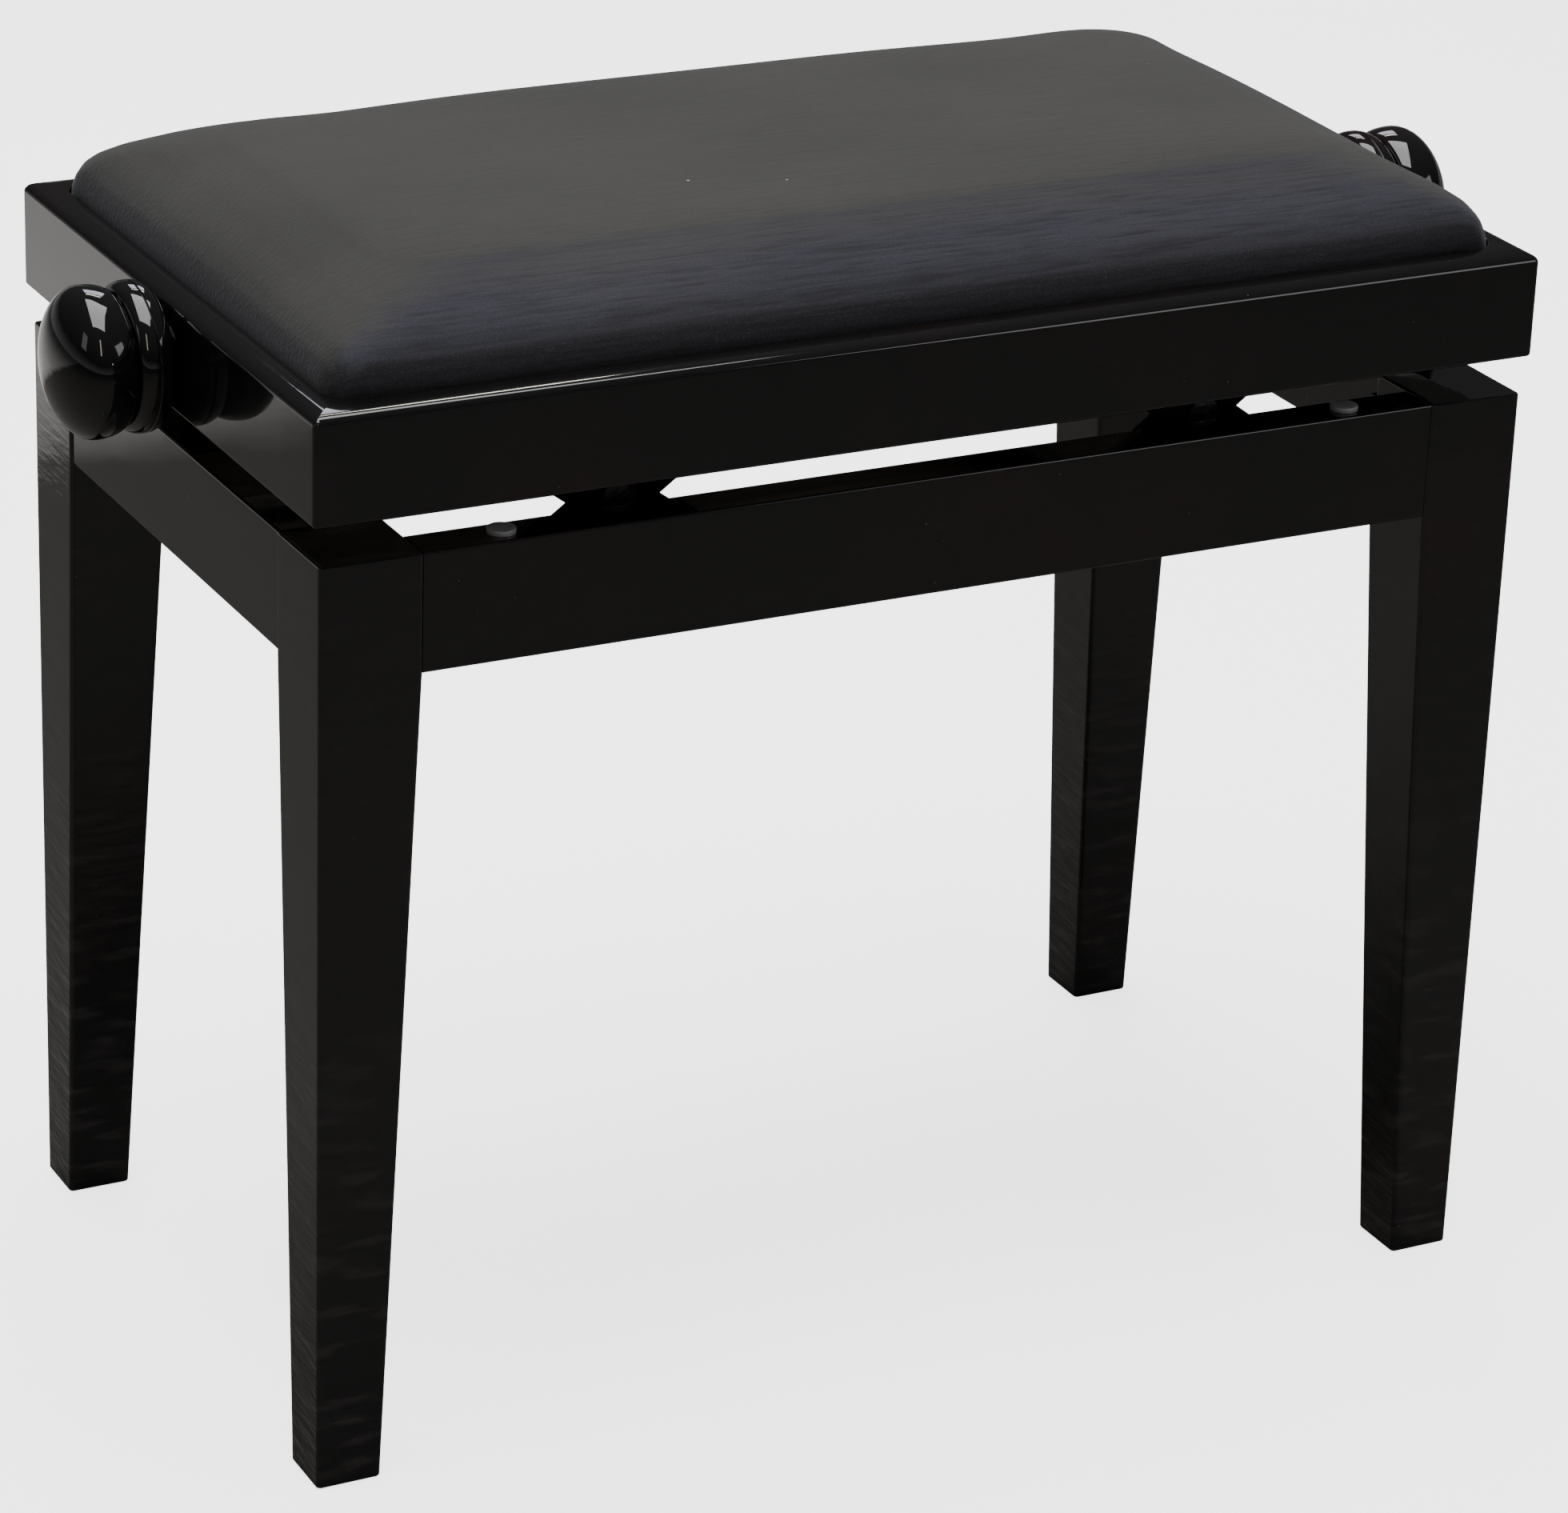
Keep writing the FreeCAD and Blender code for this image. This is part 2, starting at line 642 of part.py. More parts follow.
def knob():
    """A turned knob: short neck, a bead, a groove and a bulb with a flat dome."""
    face = seat_length / 2
    bead_start = knob_neck_length
    groove = bead_start + knob_bead_length
    widest = groove + knob_bulb_rise
    tip = widest + knob_dome_length

    def at(along, radius):
        return FreeCAD.Vector(face + along, 0, rod_height + radius)

    bead_top = at(bead_start + knob_bead_length / 2, knob_radius)
    bead_foot = at(bead_start, knob_bead_foot_radius)
    valley = at(groove, knob_groove_radius)
    shoulder = at(widest, knob_radius)
    edges = [
        Part.LineSegment(at(knob_clearance, 0), at(knob_clearance, knob_neck_radius)).toShape(),
        Part.LineSegment(at(knob_clearance, knob_neck_radius), at(bead_start, knob_neck_radius)).toShape(),
        Part.LineSegment(at(bead_start, knob_neck_radius), bead_foot).toShape(),
        quarter_ellipse(bead_foot, at(bead_start, knob_radius), bead_top),
        quarter_ellipse(bead_top, at(groove, knob_radius), valley),
        quarter_ellipse(valley, at(groove, knob_radius), shoulder),
        quarter_ellipse(shoulder, at(tip, knob_radius), at(tip, 0)),
        Part.LineSegment(at(tip, 0), at(knob_clearance, 0)).toShape(),
    ]
    profile = Part.Face(Part.Wire(edges))
    turned = profile.revolve(FreeCAD.Vector(0, 0, rod_height), ALONG_X, 360)
    return turned.cut(threaded_rod())


# All nodes by name ----------------------------------------------------------------------------------

def scissor_nodes():
    """The arms, pins, crossbars and nuts of the two scissors."""
    nodes = {}
    for end, end_sign in ENDS:
        for side, side_sign in SIDES:
            nodes[f"{side}_{end}_lift_arm"] = in_quarter(lift_arm(), end_sign, side_sign)
            nodes[f"{side}_{end}_guide_arm"] = in_quarter(guide_arm(), end_sign, side_sign)
        for name, shape in (("centre_rivets", rivets()), ("slide_pins", slide_pin()), ("hanger_pins", hanger_pin())):
            pair = [in_quarter(shape, end_sign, side_sign) for _, side_sign in SIDES]
            nodes[f"{end}_{name}"] = Part.makeCompound(pair)
        nodes[f"{end}_crossbar"] = in_quarter(crossbar(), end_sign, 1)
        nodes[f"{end}_nut"] = in_quarter(nut(), end_sign, 1)
    return nodes


def frame_nodes():
    """The legs, rails, tracks and fittings of the lower frame."""
    plate_screws = corner_screws()
    bolt = leg_bolt()
    rail_screws = track_screws()
    nodes = {}
    for name, rail in frame_rails().items():
        for screw in plate_screws + rail_screws:
            rail = rail.cut(in_all_quarters(screw))
        nodes[name] = rail
    leg_shape = leg([bolt])
    track_shape = track(rail_screws)
    for end, end_sign in ENDS:
        for side, side_sign in SIDES:
            nodes[f"leg_{side}_{end}"] = in_quarter(leg_shape, end_sign, side_sign)
            nodes[f"{side}_{end}_track"] = in_quarter(track_shape, end_sign, side_sign)
    plate = corner_plate(plate_screws + [bolt])
    groups = {
        "rest_bumpers": [bumper()], "corner_plates": [plate], "corner_plate_screws": plate_screws,
        "leg_bolts": [bolt], "leg_bolt_nuts": [leg_bolt_nut(bolt)],
        "arm_pivot_studs": [pivot_stud()], "track_screws": rail_screws,
    }
    for name, shapes in groups.items():
        nodes[name] = Part.makeCompound([copy for shape in shapes for copy in in_all_quarters(shape)])
    return nodes


def seat_nodes():
    """The apron, cushion, blocks, hangers and bushes of the seat."""
    block_screw = seat_block_screw()
    block_screws = hanger_screws()
    nodes = {}
    bore = bar_x(rod_radius + running_clearance + bush_wall, (-seat_length, seat_length))
    for name, rail in seat_rails().items():
        for screw in block_screws:
            rail = rail.cut(in_all_quarters(screw))
        nodes[name] = rail.cut(bore)
    for name, shape in cushion_parts().items():
        nodes[name] = shape.cut(in_all_quarters(block_screw))
    groups = {
        "seat_corner_blocks": [seat_block().cut(block_screw)],
        "seat_corner_screws": [block_screw], "hanger_screws": block_screws,
    }
    for name, shapes in groups.items():
        nodes[name] = Part.makeCompound([copy for shape in shapes for copy in in_all_quarters(shape)])
    block = hanger_block(block_screws)
    for end, end_sign in ENDS:
        for side, side_sign in SIDES:
            nodes[f"{side}_{end}_hanger"] = in_quarter(block, end_sign, side_sign)
        nodes[f"{end}_rod_bush"] = in_quarter(rod_bush(), end_sign, 1)
    return nodes


def screw_nodes():
    """The screw, its knobs and its collars."""
    collar, collar_screw = rod_collar()
    nodes = {"threaded_rod": threaded_rod()}
    for end, end_sign in ENDS:
        nodes[f"{end}_knob"] = in_quarter(knob(), end_sign, 1)
    for name, shape in (("rod_collars", collar), ("collar_screws", collar_screw)):
        nodes[name] = Part.makeCompound([in_quarter(shape, end_sign, 1) for _, end_sign in ENDS])
    return nodes


os.makedirs("parts", exist_ok=True)
for group in (frame_nodes(), seat_nodes(), screw_nodes(), scissor_nodes()):
    for node, shape in group.items():
        shape.exportStep(f"parts/{node}.step")
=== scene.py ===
"""Looks of a height-adjustable piano bench, built around its packed design."""

import json
import logging
import math
from dataclasses import dataclass, field
from enum import Enum
from typing import Iterable, Optional, Sequence

import bpy
import numpy as np
from mathutils import Matrix, Vector


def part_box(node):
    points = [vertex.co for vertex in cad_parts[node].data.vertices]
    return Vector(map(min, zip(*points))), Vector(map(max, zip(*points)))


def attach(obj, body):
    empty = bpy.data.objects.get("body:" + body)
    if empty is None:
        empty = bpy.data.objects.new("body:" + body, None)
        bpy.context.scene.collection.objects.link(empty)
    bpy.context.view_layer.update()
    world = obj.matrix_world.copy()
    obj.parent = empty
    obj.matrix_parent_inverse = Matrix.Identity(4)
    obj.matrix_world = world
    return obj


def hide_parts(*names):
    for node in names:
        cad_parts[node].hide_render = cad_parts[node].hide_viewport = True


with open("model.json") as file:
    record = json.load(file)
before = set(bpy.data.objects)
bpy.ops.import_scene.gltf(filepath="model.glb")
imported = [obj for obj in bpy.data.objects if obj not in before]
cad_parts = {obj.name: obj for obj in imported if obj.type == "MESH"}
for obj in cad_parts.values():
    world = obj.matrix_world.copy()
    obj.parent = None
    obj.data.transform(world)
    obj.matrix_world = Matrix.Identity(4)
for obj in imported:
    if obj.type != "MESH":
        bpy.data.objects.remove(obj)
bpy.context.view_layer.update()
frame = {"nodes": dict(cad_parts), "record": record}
MM = 0.001
LOG = logging.getLogger("piano_bench")


class End(Enum):
    """The two short ends of the bench."""

    LEFT = -1
    RIGHT = 1


class Side(Enum):
    """The two long sides of the bench."""

    FRONT = -1
    BACK = 1


# Meshes ---------------------------------------------------------------------------------------------


def make_piece(name: str, points: np.ndarray, faces: Sequence[Sequence[int]], crease_deg: float = 35.0):
    """Makes an object at the origin from points and faces, smooth but for sharp edges.

    Args:
        name: the object's name.
        points: (n, 3) places in metres.
        faces: corner numbers of each face.
        crease_deg: edges sharper than this stay sharp.

    Returns:
        The linked mesh object.
    """
    mesh = bpy.data.meshes.new(name)
    mesh.from_pydata(points.tolist(), [], [list(f) for f in faces])
    mesh.polygons.foreach_set("use_smooth", np.ones(len(mesh.polygons), bool))
    mesh.set_sharp_from_angle(angle=math.radians(crease_deg))
    mesh.validate()
    piece = bpy.data.objects.new(name, mesh)
    bpy.context.scene.collection.objects.link(piece)
    return piece


def flatten_shading(piece) -> None:
    """Lets the large flat faces rule the shading beside narrow rounded edges."""
    weighted = piece.modifiers.new("flat_faces", "WEIGHTED_NORMAL")
    weighted.mode, weighted.weight, weighted.keep_sharp = "FACE_AREA", 50, True


def ring_quads(rings: int, around: int, start: int = 0, flip: bool = False) -> np.ndarray:
    """Quads between neighbouring closed rings of points.

    The point j of ring i is number start + i * around + j, and the last point of a ring joins its first.
    """
    i, j = np.meshgrid(np.arange(rings - 1), np.arange(around), indexing="ij")
    k = (j + 1) % around
    quads = np.stack([i * around + j, i * around + k, (i + 1) * around + k, (i + 1) * around + j], -1)
    quads = quads.reshape(-1, 4) + start
    return quads[:, ::-1] if flip else quads


def closed_tube(rings: np.ndarray, fan: bool = True, outward: bool = True):
    """Points and faces of rings joined into a tube whose two ends are closed.

    Args:
        rings: (n, m, 3) points, ring by ring.
        fan: closes an end with triangles to its middle point, otherwise with one flat face.
        outward: the rings run so that the faces point out; False turns them round.

    Returns:
        The points and the list of faces.
    """
    n, m, _ = rings.shape
    points = rings.reshape(-1, 3)
    faces = [tuple(q) for q in ring_quads(n, m, flip=not outward)]
    first, last = np.arange(m), (n - 1) * m + np.arange(m)
    if fan:
        points = np.vstack([points, rings[0].mean(0), rings[-1].mean(0)])
        after = np.roll(np.arange(m), -1)
        low = [(int(first[b]), int(first[a]), n * m) for a, b in enumerate(after)]
        high = [(int(last[a]), int(last[b]), n * m + 1) for a, b in enumerate(after)]
    else:
        low, high = [tuple(first[::-1])], [tuple(last)]
    if not outward:
        low, high = [f[::-1] for f in low], [f[::-1] for f in high]
    return points, faces + low + high


def rounded_rectangle(half_x: float, half_y: float, radius: float, arc_steps: int = 6) -> np.ndarray:
    """Outline of a rectangle with round corners, anticlockwise from the right end of its lower side.

    A corner point is the corner circle's centre plus radius times (cos a, sin a), a over a quarter turn.
    """
    angles = np.linspace(0, math.pi / 2, arc_steps + 1)
    parts = []
    for turn, (sx, sy) in enumerate(((1, -1), (1, 1), (-1, 1), (-1, -1))):
        a = angles + (turn - 1) * math.pi / 2
        centre = np.array([sx * (half_x - radius), sy * (half_y - radius)])
        parts.append(centre + radius * np.stack([np.cos(a), np.sin(a)], -1))
    return np.vstack(parts)


def turned(name: str, profile: np.ndarray, origin: Sequence[float], sign: int, around: int = 96):
    """Turns a profile of (distance along X, radius) about the line through origin along X.

    A point is origin + sign * d along X + r times (cos a, sin a) across it, a over a full turn.

    Args:
        name: the object's name.
        profile: (n, 2) distances and radii from one end to the other; zero radii are dropped.
        origin: where distance zero lies.
        sign: 1 to run to the right, -1 to the left.
        around: points round each ring.

    Returns:
        The linked mesh object.
    """
    keep = profile[profile[:, 1] > 1e-7]
    a = np.linspace(0, 2 * math.pi, around, endpoint=False)
    d = np.repeat(keep[:, :1], around, 1)
    r = keep[:, 1:]
    rings = np.stack([sign * d, r * np.cos(a), r * np.sin(a)], -1) + np.asarray(origin, float)
    points, faces = closed_tube(rings, True, sign > 0)
    return make_piece(name, points, faces)


def join_grids(grids: Iterable[tuple[np.ndarray, Sequence[Sequence[int]]]]):
    """Several points-and-faces pairs as one pair."""
    all_points, all_faces, count = [], [], 0
    for points, faces in grids:
        all_points.append(points)
        all_faces += [tuple(int(i) + count for i in f) for f in faces]
        count += len(points)
    return np.vstack(all_points), all_faces


# Finishes -------------------------------------------------------------------------------------------


class Nodes:
    """A material's node tree with short calls for adding and joining nodes."""

    def __init__(self, name: str, tint: Sequence[float]) -> None:
        """Starts a material with one Principled shader."""
        self.material = bpy.data.materials.new(name)
        self.material.use_nodes = True
        self.material.diffuse_color = (*tint, 1.0)
        self.tree = self.material.node_tree
        self.shader = self.tree.nodes["Principled BSDF"]
        self.place = self.add("ShaderNodeTexCoord").outputs["Object"]

    def add(self, kind: str, **settings):
        """Adds a node: keyword arguments set its properties, or its inputs by name."""
        node = self.tree.nodes.new(kind)
        for key, value in settings.items():
            label = key.replace("_", " ").title()
            if hasattr(node, key):
                setattr(node, key, value)
            elif label in node.inputs:
                node.inputs[label].default_value = value
        return node

    def join(self, source, target) -> None:
        """Links an output to an input."""
        self.tree.links.new(source, target)

    def stretched(self, scale: Sequence[float]):
        """Object coordinates multiplied along each axis."""
        node = self.add("ShaderNodeMapping")
        node.inputs["Scale"].default_value = scale
        self.join(self.place, node.inputs["Vector"])
        return node.outputs["Vector"]

    def noise(self, scale: float, detail: float = 3.0, stretch: Optional[Sequence[float]] = None):
        """Noise from 0 to 1 on object coordinates."""
        node = self.add("ShaderNodeTexNoise", scale=scale, detail=detail)
        self.join(self.stretched(stretch) if stretch else self.place, node.inputs["Vector"])
        return node.outputs["Fac"]

    def ramp(self, source, low: float, high: float, to_low: float = 0.0, to_high: float = 1.0):
        """A value mapped from one range to another, held at its ends."""
        node = self.add("ShaderNodeMapRange")
        values = (("From Min", low), ("From Max", high), ("To Min", to_low), ("To Max", to_high))
        for key, value in values:
            node.inputs[key].default_value = value
        self.join(source, node.inputs["Value"])
        return node.outputs["Result"]

    def math(self, operation: str, a, b=None):
        """A math node on outputs or numbers."""
        node = self.add("ShaderNodeMath", operation=operation)
        for slot, value in zip(node.inputs, (a, b)):
            if value is None:
                continue
            if isinstance(value, (int, float)):
                slot.default_value = value
            else:
                self.join(value, slot)
        return node.outputs["Value"]

    def blend(self, share, first: Sequence[float], second: Sequence[float]):
        """A colour between two, by a share from 0 to 1; a colour may be an output."""
        node = self.add("ShaderNodeMix", data_type="RGBA")
        for slot, colour in ((node.inputs[6], first), (node.inputs[7], second)):
            if isinstance(colour, (tuple, list)):
                slot.default_value = (*colour, 1.0)
            else:
                self.join(colour, slot)
        self.join(share, node.inputs[0])
        return node.outputs[2]

    def bump(self, height, strength: float, distance: float, under=None):
        """A bump from a height, over another bump if one is given."""
        node = self.add("ShaderNodeBump")
        node.inputs["Strength"].default_value = strength
        node.inputs["Distance"].default_value = distance
        self.join(height, node.inputs["Height"])
        if under is not None:
            self.join(under, node.inputs["Normal"])
        return node.outputs["Normal"]

    def set(self, **values) -> None:
        """Sets the shader's inputs: an underscore stands for a space."""
        names = {s.name.lower().replace(" ", "_"): s for s in self.shader.inputs}
        for key, value in values.items():
            slot = names[key]
            if hasattr(value, "is_linked"):
                self.join(value, slot)
            elif isinstance(value, (tuple, list)) and len(value) == 3 and slot.type == "RGBA":
                slot.default_value = (*value, 1.0)
            else:
                slot.default_value = value


@dataclass(frozen=True)
class Lacquer:
    """Polished black lacquer: faint waves from polishing, hairlines, a little dust, warm depth."""

    name: str
    colour: tuple[float, float, float] = (0.0030, 0.0029, 0.0030)
    depth: tuple[float, float, float] = (0.009, 0.0035, 0.0032)
    ripple: float = 0.0
    roughness: float = 0.040

    def build(self):
        """The material."""
        n = Nodes(self.name, self.colour)
        cloud = n.noise(9.0, 4.0)
        colour = n.blend(n.ramp(cloud, 0.5, 0.85), self.colour, self.depth)
        dust = n.add("ShaderNodeTexVoronoi", feature="F1", scale=160.0)
        n.join(n.place, dust.inputs["Vector"])
        speck = n.ramp(dust.outputs["Distance"], 0.035, 0.06, 1.0, 0.0)
        rare = n.ramp(n.noise(23.0, 1.0), 0.60, 0.66)
        speck = n.math("MULTIPLY", speck, rare)
        colour = n.blend(speck, colour, (0.05, 0.05, 0.05))
        haze = n.ramp(n.noise(35.0, 5.0, (1.0, 3.0, 1.0)), 0.35, 0.75, self.roughness * 0.7, self.roughness * 1.7)
        rough = n.math("ADD", haze, n.math("MULTIPLY", speck, 0.3))
        waves = n.bump(n.noise(28.0, 2.0), 0.10, 0.0006)
        peel = n.bump(n.noise(700.0, 1.0), 0.03, 0.00008, waves)
        normal = peel
        if self.ripple:
            split = n.add("ShaderNodeSeparateXYZ")
            n.join(n.place, split.inputs["Vector"])
            low = n.ramp(split.outputs["Z"], 0.03, 0.24, 1.0, 0.16)
            wavy = n.noise(1.0, 3.0, (42.0, 42.0, 210.0))
            normal = n.bump(n.math("MULTIPLY", wavy, low), self.ripple, 0.0016, peel)
            # lighter grey streaks along the ripples, strongest near the feet
            worn = n.math("MULTIPLY", n.ramp(wavy, 0.52, 0.66), low)
            colour = n.blend(n.math("MULTIPLY", worn, 0.55), colour, (0.020, 0.019, 0.018))
        n.set(base_color=colour, roughness=rough, specular_ior_level=0.42, ior=1.5, normal=normal,
              coat_weight=0.15, coat_roughness=0.02)
        return n.material


@dataclass(frozen=True)
class Velvet:
    """Ribbed velvet: fine ribs along X, lint, and a painted sheen that makes the pile olive on top and blue on
    the slopes facing forward; painted shade darkens the steep sides and the rib troughs.
    """

    name: str
    top: tuple[float, float, float] = (0.0262, 0.0256, 0.0215)
    slope_sheen_paint: tuple[float, float, float] = (0.0200, 0.0205, 0.0350)
    rib_rate: float = 520.0

    def build(self):
        """The material."""
        n = Nodes(self.name, self.top)
        rib = n.ramp(n.noise(1.0, 2.0, (38.0, self.rib_rate, self.rib_rate)), 0.30, 0.70)
        facing = n.add("ShaderNodeSeparateXYZ")
        coords = n.add("ShaderNodeTexCoord")
        n.join(coords.outputs["Normal"], facing.inputs["Vector"])
        crushed = n.ramp(n.noise(7.0, 5.0, (1.0, 1.8, 1.0)), 0.38, 0.68)
        # painted sheen: faces turned to the front take the blue slope colour instead of the olive top colour, a
        # little less where the pile is crushed
        forward = n.ramp(facing.outputs["Y"], -0.14, -0.46)
        lean = n.math("MULTIPLY", forward, n.ramp(crushed, 0.0, 1.0, 0.6, 1.0))
        colour = n.blend(lean, self.top, self.slope_sheen_paint)
        # painted shade: steep sides are darkened towards near black
        steep = n.ramp(facing.outputs["Z"], 0.80, 0.45)
        colour = n.blend(n.math("MULTIPLY", steep, 0.75), colour, (0.0035, 0.0035, 0.0045))
        mottled = n.blend(n.ramp(crushed, 0.0, 1.0, 0.0, 0.35), colour, (0.010, 0.010, 0.009))
        fleck = n.ramp(n.noise(1300.0, 2.0), 0.52, 0.75, 0.0, 0.35)
        flecked = n.blend(fleck, mottled, (0.05, 0.05, 0.05))
        # painted shade in the rib troughs, stronger in random patches and on the faces turned to the front
        worn = n.ramp(n.noise(11.0, 3.0), 0.35, 0.70, 0.15, 0.62)
        depth = n.math("MULTIPLY", n.ramp(rib, 0.0, 0.6, 1.0, 0.0), n.math("ADD", worn, forward))
        ribbed = n.blend(n.math("MULTIPLY", depth, 0.34), flecked, (0.004, 0.004, 0.004))
        dots = n.add("ShaderNodeTexVoronoi", feature="F1", scale=75.0)
        n.join(n.place, dots.inputs["Vector"])
        lint = n.ramp(dots.outputs["Distance"], 0.03, 0.06, 1.0, 0.0)
        lint = n.math("MULTIPLY", lint, n.ramp(n.noise(19.0, 1.0), 0.64, 0.68))
        colour = n.blend(lint, ribbed, (0.35, 0.35, 0.36))
        pile = n.bump(n.noise(2600.0, 2.0), 0.30, 0.0003)
        ribs = n.bump(rib, 0.28, 0.0004, pile)
        folds = n.bump(crushed, 0.10, 0.0008, ribs)
        n.set(base_color=colour, roughness=0.82, specular_ior_level=0.25, normal=folds,
              sheen_weight=0.14, sheen_roughness=0.42, sheen_tint=(0.80, 0.82, 0.92))
        return n.material


@dataclass(frozen=True)
class Metal:
    """A metal with brushing along one axis, light wear and smudges."""

    name: str
    colour: tuple[float, float, float]
    worn: tuple[float, float, float]
    roughness: float
    brush: tuple[float, float, float] = (25.0, 600.0, 600.0)
    grain: float = 0.25

    def build(self):
        """The material."""
        n = Nodes(self.name, self.colour)
        lines = n.noise(1.0, 3.0, self.brush)
        smudge = n.noise(40.0, 4.0)
        colour = n.blend(n.ramp(smudge, 0.4, 0.75), self.colour, self.worn)
        rough = n.ramp(lines, 0.3, 0.7, self.roughness * 0.75, self.roughness * 1.4)
        n.set(base_color=colour, metallic=1.0, roughness=rough, normal=n.bump(lines, self.grain, 0.0002))
        return n.material


@dataclass(frozen=True)
class Plywood:
    """Dark-stained birch plywood: long grain on the faces, pores and a few darker streaks."""

    name: str
    light: tuple[float, float, float] = (0.085, 0.066, 0.048)
    dark: tuple[float, float, float] = (0.045, 0.032, 0.022)

    def build(self):
        """The material."""
        n = Nodes(self.name, self.light)
        grain = n.noise(1.0, 6.0, (9.0, 150.0, 150.0))
        pores = n.noise(1.0, 2.0, (120.0, 1600.0, 1600.0))
        colour = n.blend(n.ramp(grain, 0.35, 0.7), self.light, self.dark)
        colour = n.blend(n.ramp(pores, 0.62, 0.72, 0.0, 0.5), colour, (0.02, 0.014, 0.010))
        n.set(base_color=colour, roughness=n.ramp(grain, 0.3, 0.7, 0.55, 0.75),
              normal=n.bump(pores, 0.3, 0.0003))
        return n.material


@dataclass(frozen=True)
class Moulded:
    """A moulded plastic or soft rubber with a fine grain; it may let light through."""

    name: str
    colour: tuple[float, float, float]
    roughness: float
    through: float = 0.0

    def build(self):
        """The material."""
        n = Nodes(self.name, self.colour)
        cloud = n.noise(220.0, 3.0)
        colour = n.blend(cloud, self.colour, tuple(0.86 * c for c in self.colour))
        rough = n.ramp(cloud, 0.3, 0.7, self.roughness * 0.8, self.roughness * 1.25)
        n.set(base_color=colour, roughness=rough, transmission_weight=self.through, ior=1.45,
              normal=n.bump(n.noise(1500.0, 1.0), 0.08, 0.0001))
        return n.material


@dataclass(frozen=True)
class StudioFloor:
    """A pale matt floor with a barely visible texture, kept dim in the lacquer's reflections but for a painted
    bright reflection far behind the bench.
    """

    name: str = "studio_floor"
    colour: tuple[float, float, float] = (0.93, 0.93, 0.935)
    mirrored: tuple[float, float, float] = (0.14, 0.135, 0.125)
    mirrored_behind: tuple[float, float, float] = (0.80, 0.79, 0.76)
    glow: float = 2.6

    def build(self):
        """The material."""
        n = Nodes(self.name, self.colour)
        colour = n.blend(n.noise(3.0, 3.0), self.colour, tuple(0.985 * c for c in self.colour))
        path = n.add("ShaderNodeLightPath")
        split = n.add("ShaderNodeSeparateXYZ")
        n.join(n.place, split.inputs["Vector"])
        # painted reflection: seen in glossy rays the floor is dim, and bright beyond about 1.1 m behind the
        # bench, with a wavering edge
        behind = n.math("ADD", split.outputs["Y"], n.math("MULTIPLY", n.noise(6.0, 3.0), 0.22))
        mirrored = n.blend(n.ramp(behind, 1.10, 1.28), self.mirrored, self.mirrored_behind)
        colour = n.blend(path.outputs["Is Glossy Ray"], colour, mirrored)
        glow = n.math("MULTIPLY", path.outputs["Is Camera Ray"], self.glow)
        n.set(base_color=colour, roughness=0.75, specular_ior_level=0.15,
              emission_color=(1.0, 1.0, 1.0), emission_strength=glow,
              normal=n.bump(n.noise(90.0, 2.0), 0.02, 0.001))
        return n.material


@dataclass
class Finishes:
    """Every finish of the bench, built once."""

    lacquer: object = field(init=False)
    leg_lacquer: object = field(init=False)
    knob_lacquer: object = field(init=False)
    velvet: object = field(init=False)
    steel: object = field(init=False)
    zinc: object = field(init=False)
    thread: object = field(init=False)
    brass: object = field(init=False)
    plywood: object = field(init=False)
    nylon: object = field(init=False)
    bumper: object = field(init=False)

    def __post_init__(self) -> None:
        """Builds the materials."""
        self.lacquer = Lacquer("lacquer_polished").build()
        self.leg_lacquer = Lacquer("lacquer_legs", ripple=0.8).build()
        # the knobs' red depth colour, in random cloudy patches, is a painted red reflection
        self.knob_lacquer = Lacquer("lacquer_knobs", depth=(0.022, 0.0030, 0.0032)).build()
        self.velvet = Velvet("velvet_ribbed").build()
        self.steel = Metal("steel_pressed", (0.045, 0.045, 0.047), (0.030, 0.029, 0.028), 0.36).build()
        self.zinc = Metal("zinc_blackened", (0.15, 0.15, 0.155), (0.09, 0.09, 0.09), 0.30,
                          (400.0, 400.0, 400.0), 0.1).build()
        self.thread = Metal("steel_oiled", (0.32, 0.31, 0.30), (0.16, 0.14, 0.12), 0.28,
                            (900.0, 60.0, 60.0), 0.15).build()
        self.brass = Metal("brass_machined", (0.62, 0.44, 0.17), (0.42, 0.28, 0.11), 0.25,
                           (700.0, 80.0, 80.0), 0.2).build()
        self.plywood = Plywood("plywood_stained").build()
        self.nylon = Moulded("nylon_natural", (0.72, 0.70, 0.64), 0.38).build()
        self.bumper = Moulded("bumper_clear", (0.62, 0.64, 0.67), 0.16, 0.55).build()

    def for_slot(self, slot: str):
        """The finish of a record's material slot, for nodes that stay as designed."""
        table = {
            "black_lacquer": self.lacquer, "velvet": self.velvet, "foam": self.nylon,
            "plywood": self.plywood, "clear_bumper": self.bumper, "brass": self.brass,
            "nylon": self.nylon, "zinc_fastener": self.zinc, "screw_steel": self.thread,
            "pressed_steel": self.steel,
        }
        return table[slot]


def dress(piece, material, body: str, slot: str, *nodes: str) -> None:
    """Gives a piece its material and its body, and hides the nodes that it stands for."""
    piece.data.materials.clear()
    piece.data.materials.append(material)
    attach(piece, body)
    if nodes:
        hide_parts(*nodes)
    LOG.info("%s rides on %s, finish %s", piece.name, body, material.name)


# Lower frame ----------------------------------------------------------------------------------------


